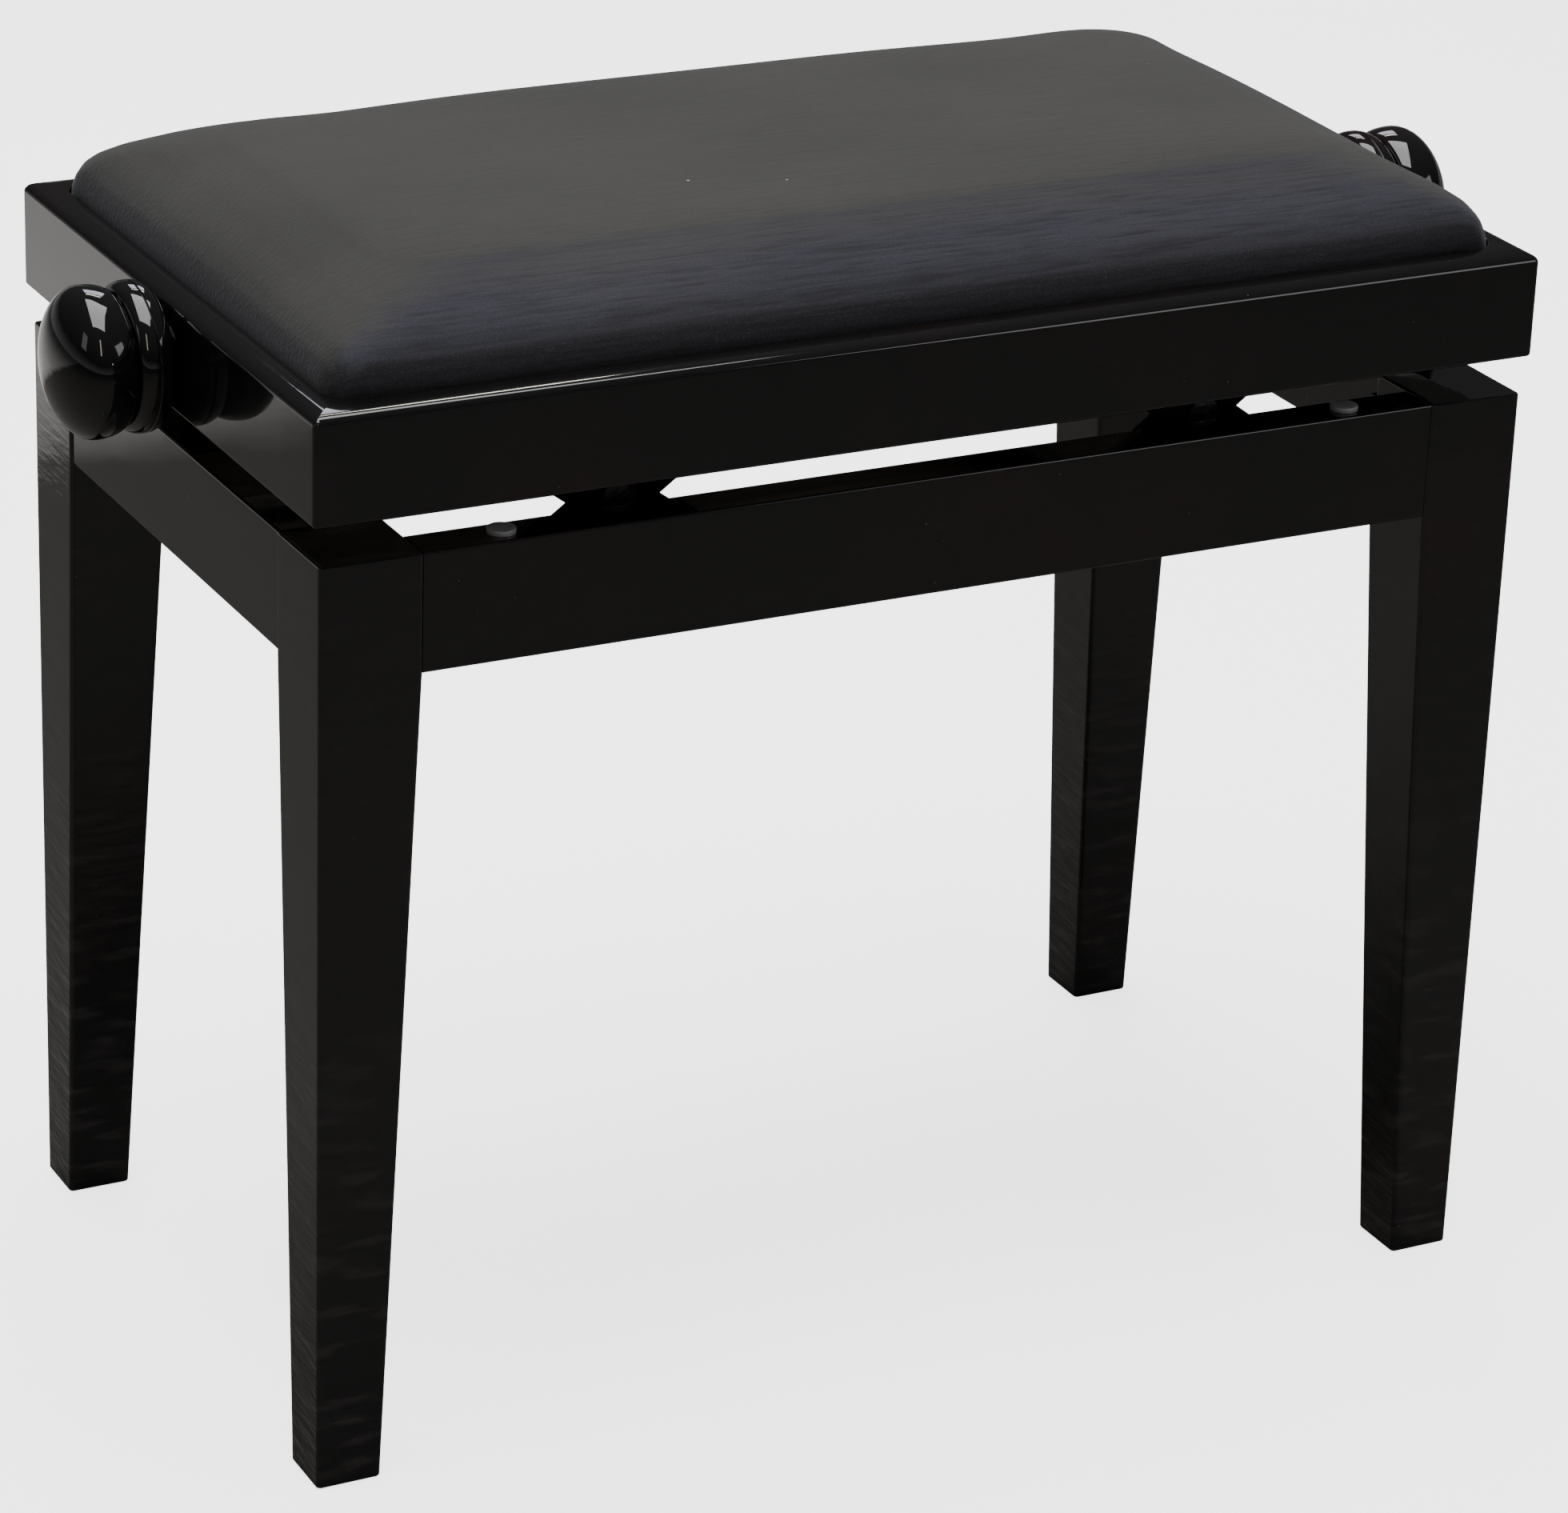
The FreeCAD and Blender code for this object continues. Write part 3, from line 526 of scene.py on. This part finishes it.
@dataclass
class LowerFrame:
    """Four tapered legs, four rails between them and four clear discs for the seat to come down on."""

    finishes: Finishes
    foot_size: float = 28 * MM
    edge_radius: float = 2.0 * MM
    end_bevel: float = 0.8 * MM
    rail_edge: float = 1.2 * MM
    disc_edge: float = 0.7 * MM
    disc_radius: float = 6 * MM

    def leg(self, end: End, side: Side) -> None:
        """Builds one leg.

        Each ring is a rounded square whose outer faces stay put while its size grows from the foot to the
        rails; the first and last rings are drawn in for a small bevel.
        """
        node = f"leg_{side.name.lower()}_{end.name.lower()}"
        low, high = (np.array(corner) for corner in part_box(node))
        top_size = high[0] - low[0]
        taper_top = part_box("frame_rail_front")[0][2]
        top, bevel = high[2], self.end_bevel
        levels = [(0.0, bevel), (bevel * 0.3, bevel * 0.3), (bevel, 0.0), (taper_top, 0.0),
                  (top - bevel, 0.0), (top - bevel * 0.3, bevel * 0.3), (top, bevel)]
        outer = np.array([high[0] if end is End.RIGHT else low[0], high[1] if side is Side.BACK else low[1]])
        inward = -np.array([end.value, side.value])
        rings = []
        for z, drawn in levels:
            share = min(z / taper_top, 1.0)
            size = self.foot_size + (top_size - self.foot_size) * share
            centre = outer + inward * size / 2
            ring = centre + rounded_rectangle(size / 2 - drawn, size / 2 - drawn, self.edge_radius)
            rings.append(np.column_stack([ring, np.full(len(ring), z)]))
        points, faces = closed_tube(np.array(rings))
        piece = make_piece(f"{node}_polished", points, faces)
        flatten_shading(piece)
        dress(piece, self.finishes.leg_lacquer, "lower_frame", "black_lacquer", node)

    def rail(self, name: str) -> None:
        """Builds one rail: a rounded rectangle carried in a straight line between two legs."""
        node = f"frame_rail_{name}"
        low, high = (np.array(corner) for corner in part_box(node))
        run = int(np.argmax(high[:2] - low[:2]))
        across = 1 - run
        half = (high - low) / 2
        section = rounded_rectangle(half[across], half[2], self.rail_edge)
        rings = []
        for place in (low[run], high[run]):
            ring = np.zeros((len(section), 3))
            ring[:, run] = place
            ring[:, across] = (low + high)[across] / 2 + section[:, 0]
            ring[:, 2] = (low + high)[2] / 2 + section[:, 1]
            rings.append(ring)
        points, faces = closed_tube(np.array(rings), fan=False, outward=run == 0)
        piece = make_piece(f"{node}_polished", points, faces)
        flatten_shading(piece)
        dress(piece, self.finishes.lacquer, "lower_frame", "black_lacquer", node)

    def discs(self) -> None:
        """Builds the four discs, each a low turned dome."""
        low, high = (np.array(corner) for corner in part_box("rest_bumpers"))
        radius = self.disc_radius
        height, edge = high[2] - low[2], self.disc_edge
        turn = np.linspace(0, math.pi / 2, 6)
        rim = np.stack([height - edge + edge * np.sin(turn), radius - edge + edge * np.cos(turn)], -1)
        profile = np.vstack([[[0.0, radius * 0.2], [0.0, radius]], rim, [[height, radius * 0.15]]])
        grids = []
        for x in (low[0] + radius, high[0] - radius):
            for y in (low[1] + radius, high[1] - radius):
                angle = np.linspace(0, 2 * math.pi, 40, endpoint=False)
                ring_x = x + profile[:, 1:] * np.cos(angle)
                ring_y = y + profile[:, 1:] * np.sin(angle)
                ring_z = low[2] + np.repeat(profile[:, :1], len(angle), 1)
                grids.append(closed_tube(np.stack([ring_x, ring_y, ring_z], -1)))
        piece = make_piece("rest_discs", *join_grids(grids))
        dress(piece, self.finishes.bumper, "lower_frame", "clear_bumper", "rest_bumpers")

    def build(self) -> None:
        """Builds every piece of the lower frame."""
        for end in End:
            for side in Side:
                self.leg(end, side)
        for name in ("front", "back", "left", "right"):
            self.rail(name)
        self.discs()


# Seat frame -----------------------------------------------------------------------------------------


@dataclass
class SeatFrame:
    """The mitred apron: a section with a round rim and a rebate, carried round the seat."""

    finishes: Finishes
    rim_width: float = 12 * MM
    rail_width: float = 20 * MM
    rim_radius: float = 5 * MM
    lower_radius: float = 1.5 * MM
    corner_radius: float = 2.5 * MM
    rebate: float = 9 * MM
    arris: float = 0.6 * MM
    corner_steps: int = 9
    inner_corner: float = 14.5 * MM

    def section(self, bottom: float, top: float) -> np.ndarray:
        """The section as (inset from the outer face, height).

        The rim's top is a quarter ellipse as wide as the rim and rim_radius high, so it falls away gently
        from the cushion; its inner arris and the lower edge are small quarter circles.
        """
        quarter = np.linspace(0, math.pi / 2, 17)
        crown = self.rim_width - self.arris
        rim = np.stack([crown * (1 - np.cos(quarter)), top - self.rim_radius * (1 - np.sin(quarter))], -1)
        small = quarter[::4]
        inner = np.stack([self.rim_width - self.arris * (1 - np.sin(small)),
                          top - self.arris * (1 - np.cos(small))], -1)
        ledge = top - self.rebate
        straight = np.array([[self.rim_width, ledge], [self.rail_width, ledge], [self.rail_width, bottom]])
        lower = np.stack([self.lower_radius * (1 - np.sin(small)),
                          bottom + self.lower_radius * (1 - np.cos(small))], -1)
        return np.vstack([rim, inner, straight, lower])

    def rail(self, name: str, turn: int, bottom: float, top: float, half: np.ndarray) -> None:
        """Builds one rail, from the middle of one corner to the middle of the next.

        At inset t the plan is a rectangle with corner radius max(corner_radius - t, 0), but the rim's inner
        edge has a fillet that follows the cushion's corner. A rail takes half of the arc at each of its two
        corners and the straight run between them.
        """
        section = self.section(bottom, top)
        length, depth = (half[0], half[1]) if turn % 2 == 0 else (half[1], half[0])
        radius = np.maximum(self.corner_radius - section[:, 0], 0)
        inner = (section[:, 0] > self.rim_width - self.arris - 1e-6) & (section[:, 0] < self.rim_width + 1e-6)
        radius = np.where(inner, self.inner_corner + self.rim_width - section[:, 0], radius)
        lean = np.linspace(math.pi / 4, 0, self.corner_steps)
        rings = []
        for sign, angles in ((-1, lean), (1, lean[::-1])):
            for angle in angles:
                along = sign * (length - section[:, 0] - radius + radius * math.sin(angle))
                across = -(depth - section[:, 0] - radius + radius * math.cos(angle))
                rings.append(np.column_stack([along, across, section[:, 1]]))
        rings = np.array(rings)
        cos, sin = round(math.cos(turn * math.pi / 2)), round(math.sin(turn * math.pi / 2))
        x, y = rings[..., 0].copy(), rings[..., 1].copy()
        rings[..., 0], rings[..., 1] = cos * x - sin * y, sin * x + cos * y
        points, faces = closed_tube(rings, fan=False, outward=False)
        node = f"seat_rail_{name}"
        piece = make_piece(f"{node}_polished", points, faces, 40.0)
        flatten_shading(piece)
        dress(piece, self.finishes.lacquer, "seat", "black_lacquer", node)

    def build(self) -> None:
        """Builds the four rails."""
        low, high = (np.array(c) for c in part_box("seat_rail_front"))
        half = np.array([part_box("seat_rail_right")[1][0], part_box("seat_rail_back")[1][1]])
        for turn, name in enumerate(("front", "right", "back", "left")):
            self.rail(name, turn, low[2], high[2], half)


# Cushion --------------------------------------------------------------------------------------------


@dataclass
class Cushion:
    """The drop-in cushion: foam under ribbed velvet, crowned, its sides drawn in under the rim."""

    finishes: Finishes
    corner_radius: float = 13 * MM
    flank: float = 57 * MM
    fullness: float = 0.70
    bulge: float = 0.6 * MM
    rings_up: int = 20
    voxel: float = 4.5 * MM
    pressure: float = 4.0
    most_move: float = 5 * MM
    evening: int = 60
    overlap: float = 5 * MM
    pinned_above_rim: float = 1.5 * MM
    fold_width: float = 26 * MM

    def form(self, crown: float) -> tuple[np.ndarray, list]:
        """The pad before it swells; it laps over the board's edge.

        Rings rise from the board; the ring at share s has its outline drawn in by flank * (1 - cos a) and
        stands at crown * sin(a) ^ fullness above the rim, with a over a quarter turn, so the flanks are steep
        at the rim and the top is nearly flat.
        """
        low, high = (np.array(c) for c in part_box("velvet_cover"))
        half = (high - low) / 2
        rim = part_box("seat_rail_front")[1][2]
        levels = [(0.0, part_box("seat_board")[1][2] - self.overlap), (0.0, rim + 0.5 * MM)]
        for a in np.linspace(0, math.pi / 2, self.rings_up)[1:]:
            levels.append((self.flank * (1 - math.cos(a)), rim + 0.5 * MM + crown * math.sin(a) ** self.fullness))
        rings = []
        for inset, z in levels:
            radius = self.corner_radius + inset * 0.5
            outline = rounded_rectangle(half[0] - inset, half[1] - inset, radius, 12)
            rings.append(np.column_stack([outline, np.full(len(outline), z)]))
        return closed_tube(np.array(rings))

    def swollen(self, start):
        """The pad after cloth simulation with air pressure, held below the rim.

        Args:
            start: the pad as built.

        Returns:
            The simulated places, each moved at most most_move from its start.
        """
        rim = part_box("seat_rail_front")[1][2] + self.pinned_above_rim
        scene = bpy.context.scene
        remesh = start.modifiers.new("even", "REMESH")
        remesh.mode, remesh.voxel_size = "VOXEL", self.voxel
        graph = bpy.context.evaluated_depsgraph_get()
        even = bpy.data.meshes.new_from_object(start.evaluated_get(graph))
        start.modifiers.clear()
        start.data = even
        places = np.empty(len(even.vertices) * 3)
        even.vertices.foreach_get("co", places)
        places = places.reshape(-1, 3)
        held = start.vertex_groups.new(name="held")
        held.add([int(i) for i in np.flatnonzero(places[:, 2] < rim)], 1.0, "REPLACE")
        cloth = start.modifiers.new("swell", "CLOTH")
        settings = cloth.settings
        settings.quality = 6
        settings.mass = 0.25
        settings.tension_stiffness = settings.compression_stiffness = 12
        settings.shear_stiffness = 6
        settings.bending_stiffness = 0.6
        settings.use_pressure = True
        settings.uniform_pressure_force = self.pressure
        settings.vertex_group_mass = "held"
        settings.effector_weights.gravity = 0.0
        cloth.point_cache.frame_start, cloth.point_cache.frame_end = 1, 20
        for step in range(1, 21):
            scene.frame_set(step)
        graph = bpy.context.evaluated_depsgraph_get()
        result = start.evaluated_get(graph).to_mesh()
        moved = np.empty(len(result.vertices) * 3)
        result.vertices.foreach_get("co", moved)
        moved = moved.reshape(-1, 3)
        start.modifiers.clear()
        scene.frame_set(1)
        step = moved - places
        size = np.linalg.norm(step, axis=1, keepdims=True)
        step = step * np.minimum(1.0, self.most_move / np.maximum(size, 1e-9))
        edges = np.empty(len(even.edges) * 2, int)
        even.edges.foreach_get("vertices", edges)
        return places + self.evened(step, edges.reshape(-1, 2), places[:, 2] >= rim)

    def evened(self, step: np.ndarray, edges: np.ndarray, free: np.ndarray) -> np.ndarray:
        """The movement with small wrinkles eased out, as upholsterers do by steaming.

        Each pass gives every free point the mean of its own movement and of its neighbours' mean movement.
        """
        count = np.bincount(edges.ravel(), minlength=len(step))[:, None]
        for _ in range(self.evening):
            total = np.zeros_like(step)
            np.add.at(total, edges[:, 0], step[edges[:, 1]])
            np.add.at(total, edges[:, 1], step[edges[:, 0]])
            step = np.where(free[:, None], 0.5 * step + 0.5 * total / np.maximum(count, 1), step)
        return step

    def shape_top(self, places: np.ndarray) -> np.ndarray:
        """Small hand-made irregularities: shallow dents and short pulls towards the corners.

        A pull is a cosine of the angle about the corner, faded by the distance from it.
        """
        low, high = (np.array(c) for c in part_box("velvet_cover"))
        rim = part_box("seat_rail_front")[1][2]
        above = np.clip((places[:, 2] - rim) / (6 * MM), 0, 1)
        dent = np.sin(places[:, 0] * 23.0 + 1.1) * np.sin(places[:, 1] * 31.0 + 0.6)
        out = places.copy()
        out[:, 2] += 0.4 * MM * dent * above
        for sx in (-1, 1):
            for sy in (-1, 1):
                corner = np.array([sx * high[0], sy * high[1]])
                away = places[:, :2] - corner
                far = np.linalg.norm(away, axis=1)
                angle = np.arctan2(away[:, 1], away[:, 0])
                pull = np.cos(angle * 10.0 + sx + 2 * sy) * np.exp(-((far - 15 * MM) / (11 * MM)) ** 2)
                out[:, 2] += 0.25 * MM * pull * above
        return out

    def pad(self) -> None:
        """Builds the cushion: form, simulation, one subdivision."""
        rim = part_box("seat_rail_front")[1][2]
        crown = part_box("velvet_cover")[1][2] - rim - self.bulge
        points, faces = self.form(crown)
        piece = make_piece("velvet_cushion", points, faces, 60.0)
        places = self.shape_top(self.swollen(piece))
        piece.data.vertices.foreach_set("co", places.ravel())
        piece.data.polygons.foreach_set("use_smooth", np.ones(len(piece.data.polygons), bool))
        piece.data.update()
        finer = piece.modifiers.new("finer", "SUBSURF")
        finer.levels = finer.render_levels = 1
        dress(piece, self.finishes.velvet, "seat", "velvet", "velvet_cover", "foam_pad")

    def skirt(self) -> None:
        """Builds the cover's lower part: round the board's edge and folded under it, cut a little unevenly.

        The section runs down the outside, round the lower arris, in under the board and back up between
        board and cover. Its inner edge wanders by the sum of two sines of the way along it.
        """
        cover_low, cover_high = (np.array(c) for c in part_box("velvet_cover"))
        board_low, board_high = (np.array(c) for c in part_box("seat_board"))
        steps = 320
        share = np.linspace(0, 1, steps, endpoint=False)
        wander = 1.6 * MM * np.sin(share * 2 * math.pi * 17) + 1.1 * MM * np.sin(share * 2 * math.pi * 41 + 1)
        board = self.spread(rounded_rectangle(board_high[0], board_high[1], 12.5 * MM, 16), steps)
        cover = self.spread(rounded_rectangle(cover_high[0], cover_high[1], 14 * MM, 16), steps)
        drawn = self.spread(rounded_rectangle(cover_high[0] - MM, cover_high[1] - MM, 13 * MM, 16), steps)
        reach = board_high[:2] - (self.fold_width + wander)[:, None]
        inner = np.clip(board, -reach, reach)
        rim, bottom = board_high[2] - self.overlap + MM, cover_low[2]
        rings = [(board, rim), (cover, rim), (cover, bottom + MM), (drawn, bottom + 0.1 * MM),
                 (inner, bottom + 0.1 * MM), (inner, board_low[2] - 0.1 * MM), (board, board_low[2] - 0.1 * MM)]
        band = np.stack([np.column_stack([plan, np.full(steps, z)]) for plan, z in rings])
        last, start = np.arange(steps), (len(rings) - 1) * steps
        after = np.roll(last, -1)
        joined = np.stack([start + last, start + after, after, last], -1)
        faces = np.vstack([ring_quads(len(rings), steps), joined])[:, ::-1]
        piece = make_piece("velvet_skirt", band.reshape(-1, 3), faces)
        dress(piece, self.finishes.velvet, "seat", "velvet")

    def spread(self, outline: np.ndarray, steps: int) -> np.ndarray:
        """An outline's points spread evenly along it."""
        closed = np.vstack([outline, outline[:1]])
        lengths = np.r_[0, np.cumsum(np.linalg.norm(np.diff(closed, axis=0), axis=1))]
        way = np.linspace(0, lengths[-1], steps, endpoint=False)
        return np.stack([np.interp(way, lengths, closed[:, k]) for k in (0, 1)], -1)

    def build(self) -> None:
        """Builds the cushion and the skirt of its cover."""
        self.pad()
        self.skirt()


# Screw and knobs ------------------------------------------------------------------------------------


@dataclass
class Screw:
    """The turned knobs and the threaded rod between them."""

    finishes: Finishes
    knob_radius: float = 31 * MM
    thread_pitch: float = 3 * MM
    thread_depth: float = 0.9 * MM
    thread_start: float = 46 * MM
    thread_end: float = 143 * MM
    rod_radius: float = 6 * MM

    def knob_profile(self) -> np.ndarray:
        """The knob's outline as (distance from the seat's end, radius).

        Quarter ellipses: up the bead, down into the groove, up the bulb and over the dome. A shallow crease
        runs round the bead, and the neck has a small fillet.
        """
        quarter = np.linspace(0, math.pi / 2, 15)
        r = self.knob_radius

        def arc(x0: float, r0: float, x1: float, r1: float, rising: bool) -> np.ndarray:
            """A quarter ellipse, flat at its high end."""
            if rising:
                return np.stack([x1 - (x1 - x0) * np.cos(quarter), r0 + (r1 - r0) * np.sin(quarter)], -1)
            return np.stack([x0 + (x1 - x0) * np.sin(quarter), r1 + (r0 - r1) * np.cos(quarter)], -1)

        neck = np.array([[0.5, 2.0], [0.5, 12.4], [0.9, 13.0], [2.6, 13.0], [3.1, 13.4], [3.4, 14.5]]) * MM
        face = np.array([[3.5, 19.0], [3.5, 23.0]]) * MM
        bead_up = arc(3.5 * MM, 24 * MM, 11.0 * MM, r - 0.2 * MM, True)
        crease = np.array([[11.3, 30.6], [11.5, 30.3], [11.7, 30.6]]) * MM
        bead_down = arc(12.0 * MM, r - 0.2 * MM, 19.2 * MM, 26.2 * MM, False)
        groove = np.array([[19.5, 25.9]]) * MM
        bulb = arc(19.8 * MM, 26.2 * MM, 31.5 * MM, r, True)
        dome = arc(31.5 * MM, r, 48.5 * MM, 0.0, False)
        return np.vstack([neck, face, bead_up, crease, bead_down, groove, bulb, dome[1:]])

    def knobs(self) -> None:
        """Builds both knobs."""
        end_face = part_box("seat_rail_right")[1][0]
        low, high = (np.array(c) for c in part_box("threaded_rod"))
        height = (low[2] + high[2]) / 2
        for end in End:
            name = f"{end.name.lower()}_knob"
            origin = (end.value * end_face, 0.0, height)
            piece = turned(f"{name}_turned", self.knob_profile(), origin, end.value)
            dress(piece, self.finishes.knob_lacquer, "screw", "black_lacquer", name)

    def rod(self) -> None:
        """Builds the rod with its two threads.

        The radius at (x, a) is the rod's less depth times a trapezium wave of |x| / pitch plus the share of
        a turn at a, so the two halves have threads of opposite hands.
        """
        low, high = (np.array(c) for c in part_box("threaded_rod"))
        half, height = high[0], (low[2] + high[2]) / 2
        bevel = 0.8 * MM
        threaded = np.arange(self.thread_start, self.thread_end, self.thread_pitch / 8)
        right = np.r_[0.0, threaded, self.thread_end, half - bevel, half]
        x = np.r_[-right[::-1], right[1:]]
        a = np.linspace(0, 2 * math.pi, 24, endpoint=False)
        grid_x, grid_a = np.meshgrid(x, a, indexing="ij")
        phase = (np.abs(grid_x) / self.thread_pitch + grid_a / (2 * math.pi)) % 1.0
        wave = np.clip(np.abs(phase - 0.5) * 6 - 1, 0, 1)
        inside = (np.abs(grid_x) > self.thread_start) & (np.abs(grid_x) < self.thread_end)
        fade = np.clip(np.minimum(np.abs(grid_x) - self.thread_start, self.thread_end - np.abs(grid_x))
                       / (2 * MM), 0, 1)
        radius = self.rod_radius - self.thread_depth * wave * inside * fade
        radius = np.where(np.abs(grid_x) >= half - 1e-9, self.rod_radius - bevel, radius)
        rings = np.stack([grid_x, radius * np.cos(grid_a), height + radius * np.sin(grid_a)], -1)
        piece = make_piece("threaded_rod_cut", *closed_tube(rings), 50.0)
        dress(piece, self.finishes.thread, "screw", "screw_steel", "threaded_rod")

    def build(self) -> None:
        """Builds the rod and both knobs."""
        self.knobs()
        self.rod()


# Studio ---------------------------------------------------------------------------------------------


@dataclass(frozen=True)
class Softbox:
    """A rectangular soft light aimed at a point."""

    name: str
    place: tuple[float, float, float]
    aim: tuple[float, float, float]
    size: tuple[float, float]
    watts: float
    colour: tuple[float, float, float] = (1.0, 1.0, 1.0)

    def build(self) -> None:
        """Adds the light."""
        light = bpy.data.lights.new(self.name, "AREA")
        light.shape = "RECTANGLE"
        light.size, light.size_y = self.size
        light.energy = self.watts
        light.color = self.colour
        lamp = bpy.data.objects.new(self.name, light)
        lamp.location = self.place
        direction = Vector(self.aim) - Vector(self.place)
        lamp.rotation_euler = direction.to_track_quat("-Z", "Y").to_euler()
        bpy.context.scene.collection.objects.link(lamp)


@dataclass
class Studio:
    """Floor, lights, surroundings and camera."""

    eye: tuple[float, float, float] = (-1.0600738, -2.0314386, 1.1919981)
    yaw: float = 0.4856
    pitch: float = 0.4017
    roll: float = 0.0369
    lens_mm: float = 131.6

    def floor(self) -> None:
        """A large pale plane just under the feet."""
        span = 14.0
        steps = np.linspace(-span, span, 9)
        x, y = np.meshgrid(steps, steps, indexing="ij")
        points = np.stack([x, y, np.full_like(x, -0.2 * MM)], -1).reshape(-1, 3)
        i, j = np.meshgrid(np.arange(8), np.arange(8), indexing="ij")
        faces = np.stack([i * 9 + j, (i + 1) * 9 + j, (i + 1) * 9 + j + 1, i * 9 + j + 1], -1).reshape(-1, 4)
        plane = make_piece("floor", points, faces)
        plane.data.materials.append(StudioFloor().build())

    def surroundings(self) -> None:
        """A world that is white to look at and dim in reflections, brighter low behind the bench."""
        world = bpy.data.worlds.new("studio")
        world.use_nodes = True
        bpy.context.scene.world = world
        tree = world.node_tree
        tree.nodes.clear()
        add, link = tree.nodes.new, tree.links.new
        output, mix, path = add("ShaderNodeOutputWorld"), add("ShaderNodeMixShader"), add("ShaderNodeLightPath")
        seen, felt = add("ShaderNodeBackground"), add("ShaderNodeBackground")
        seen.inputs["Color"].default_value = (1.0, 1.0, 1.0, 1.0)
        seen.inputs["Strength"].default_value = 1.0
        coord, split = add("ShaderNodeTexCoord"), add("ShaderNodeSeparateXYZ")
        link(coord.outputs["Generated"], split.inputs["Vector"])
        ramp = add("ShaderNodeValToRGB")
        elements = ramp.color_ramp.elements
        elements[0].position, elements[0].color = 0.0, (0.50, 0.50, 0.51, 1)
        low = elements.new(0.16)
        low.color = (0.06, 0.06, 0.062, 1)
        elements[2].position, elements[2].color = 1.0, (0.24, 0.24, 0.25, 1)
        link(split.outputs["Z"], ramp.inputs["Fac"])
        link(ramp.outputs["Color"], felt.inputs["Color"])
        felt.inputs["Strength"].default_value = 0.8
        link(path.outputs["Is Camera Ray"], mix.inputs["Fac"])
        link(felt.outputs["Background"], mix.inputs[1])
        link(seen.outputs["Background"], mix.inputs[2])
        link(mix.outputs["Shader"], output.inputs["Surface"])

    def lights(self) -> None:
        """Soft boxes: one overhead, one low behind that the rim mirrors, a window at the left, a fill."""
        seat = (0.0, 0.0, 0.42)
        boxes = (
            Softbox("overhead", (-0.2, 0.1, 3.0), seat, (2.6, 2.0), 130.0),
            Softbox("behind", (1.15, 3.2, 2.85), seat, (1.5, 0.95), 26.0, (0.90, 0.88, 1.0)),
            Softbox("behind_line", (1.10, 3.1, 3.75), seat, (1.6, 0.12), 16.0, (1.0, 0.94, 0.80)),
            Softbox("window", (-3.0, -0.2, 1.7), seat, (0.6, 1.0), 2.5, (1.0, 0.96, 0.90)),
            Softbox("strip", (-1.6, -2.4, 2.4), seat, (0.25, 1.4), 8.0, (1.0, 0.90, 0.72)),
            Softbox("violet", (0.6, -3.4, 1.2), seat, (0.12, 0.12), 1.2, (0.75, 0.55, 1.0)),
            Softbox("fill", (2.2, -2.7, 2.2), seat, (1.2, 1.2), 14.0),
        )
        for softbox in boxes:
            softbox.build()

    def camera(self) -> None:
        """A long lens from the front left, a little above the seat."""
        forward = Vector((math.sin(self.yaw) * math.cos(self.pitch),
                          math.cos(self.yaw) * math.cos(self.pitch), -math.sin(self.pitch)))
        right = Vector((math.cos(self.yaw), -math.sin(self.yaw), 0.0))
        up = right.cross(forward)
        turned_right = math.cos(self.roll) * right + math.sin(self.roll) * up
        turned_up = math.cos(self.roll) * up - math.sin(self.roll) * right
        data = bpy.data.cameras.new("view")
        data.lens, data.sensor_width = self.lens_mm, 36.0
        data.clip_start, data.clip_end = 0.05, 60.0
        camera = bpy.data.objects.new("view", data)
        turn = Matrix((turned_right, turned_up, -forward)).transposed().to_4x4()
        camera.matrix_world = Matrix.Translation(Vector(self.eye)) @ turn
        bpy.context.scene.collection.objects.link(camera)
        bpy.context.scene.camera = camera

    def build(self) -> None:
        """Builds the whole studio."""
        self.floor()
        self.surroundings()
        self.lights()
        self.camera()


def dress_designed_nodes(finishes: Finishes) -> None:
    """Gives each designed node that stays the finish of its slot."""
    slots = {part["node"]: part["material_slot"] for part in frame["record"]["subparts"]}
    for node, piece in frame["nodes"].items():
        material = finishes.for_slot(slots[node])
        for slot in piece.material_slots:
            slot.material = material


def main() -> None:
    """Builds the studio and every piece."""
    logging.basicConfig(level=logging.INFO, format="%(message)s")
    finishes = Finishes()
    dress_designed_nodes(finishes)
    for assembly in (Studio(), LowerFrame(finishes), SeatFrame(finishes), Cushion(finishes), Screw(finishes)):
        assembly.build()
        LOG.info("%s is built", type(assembly).__name__)


if __name__ == "__main__":
    main()
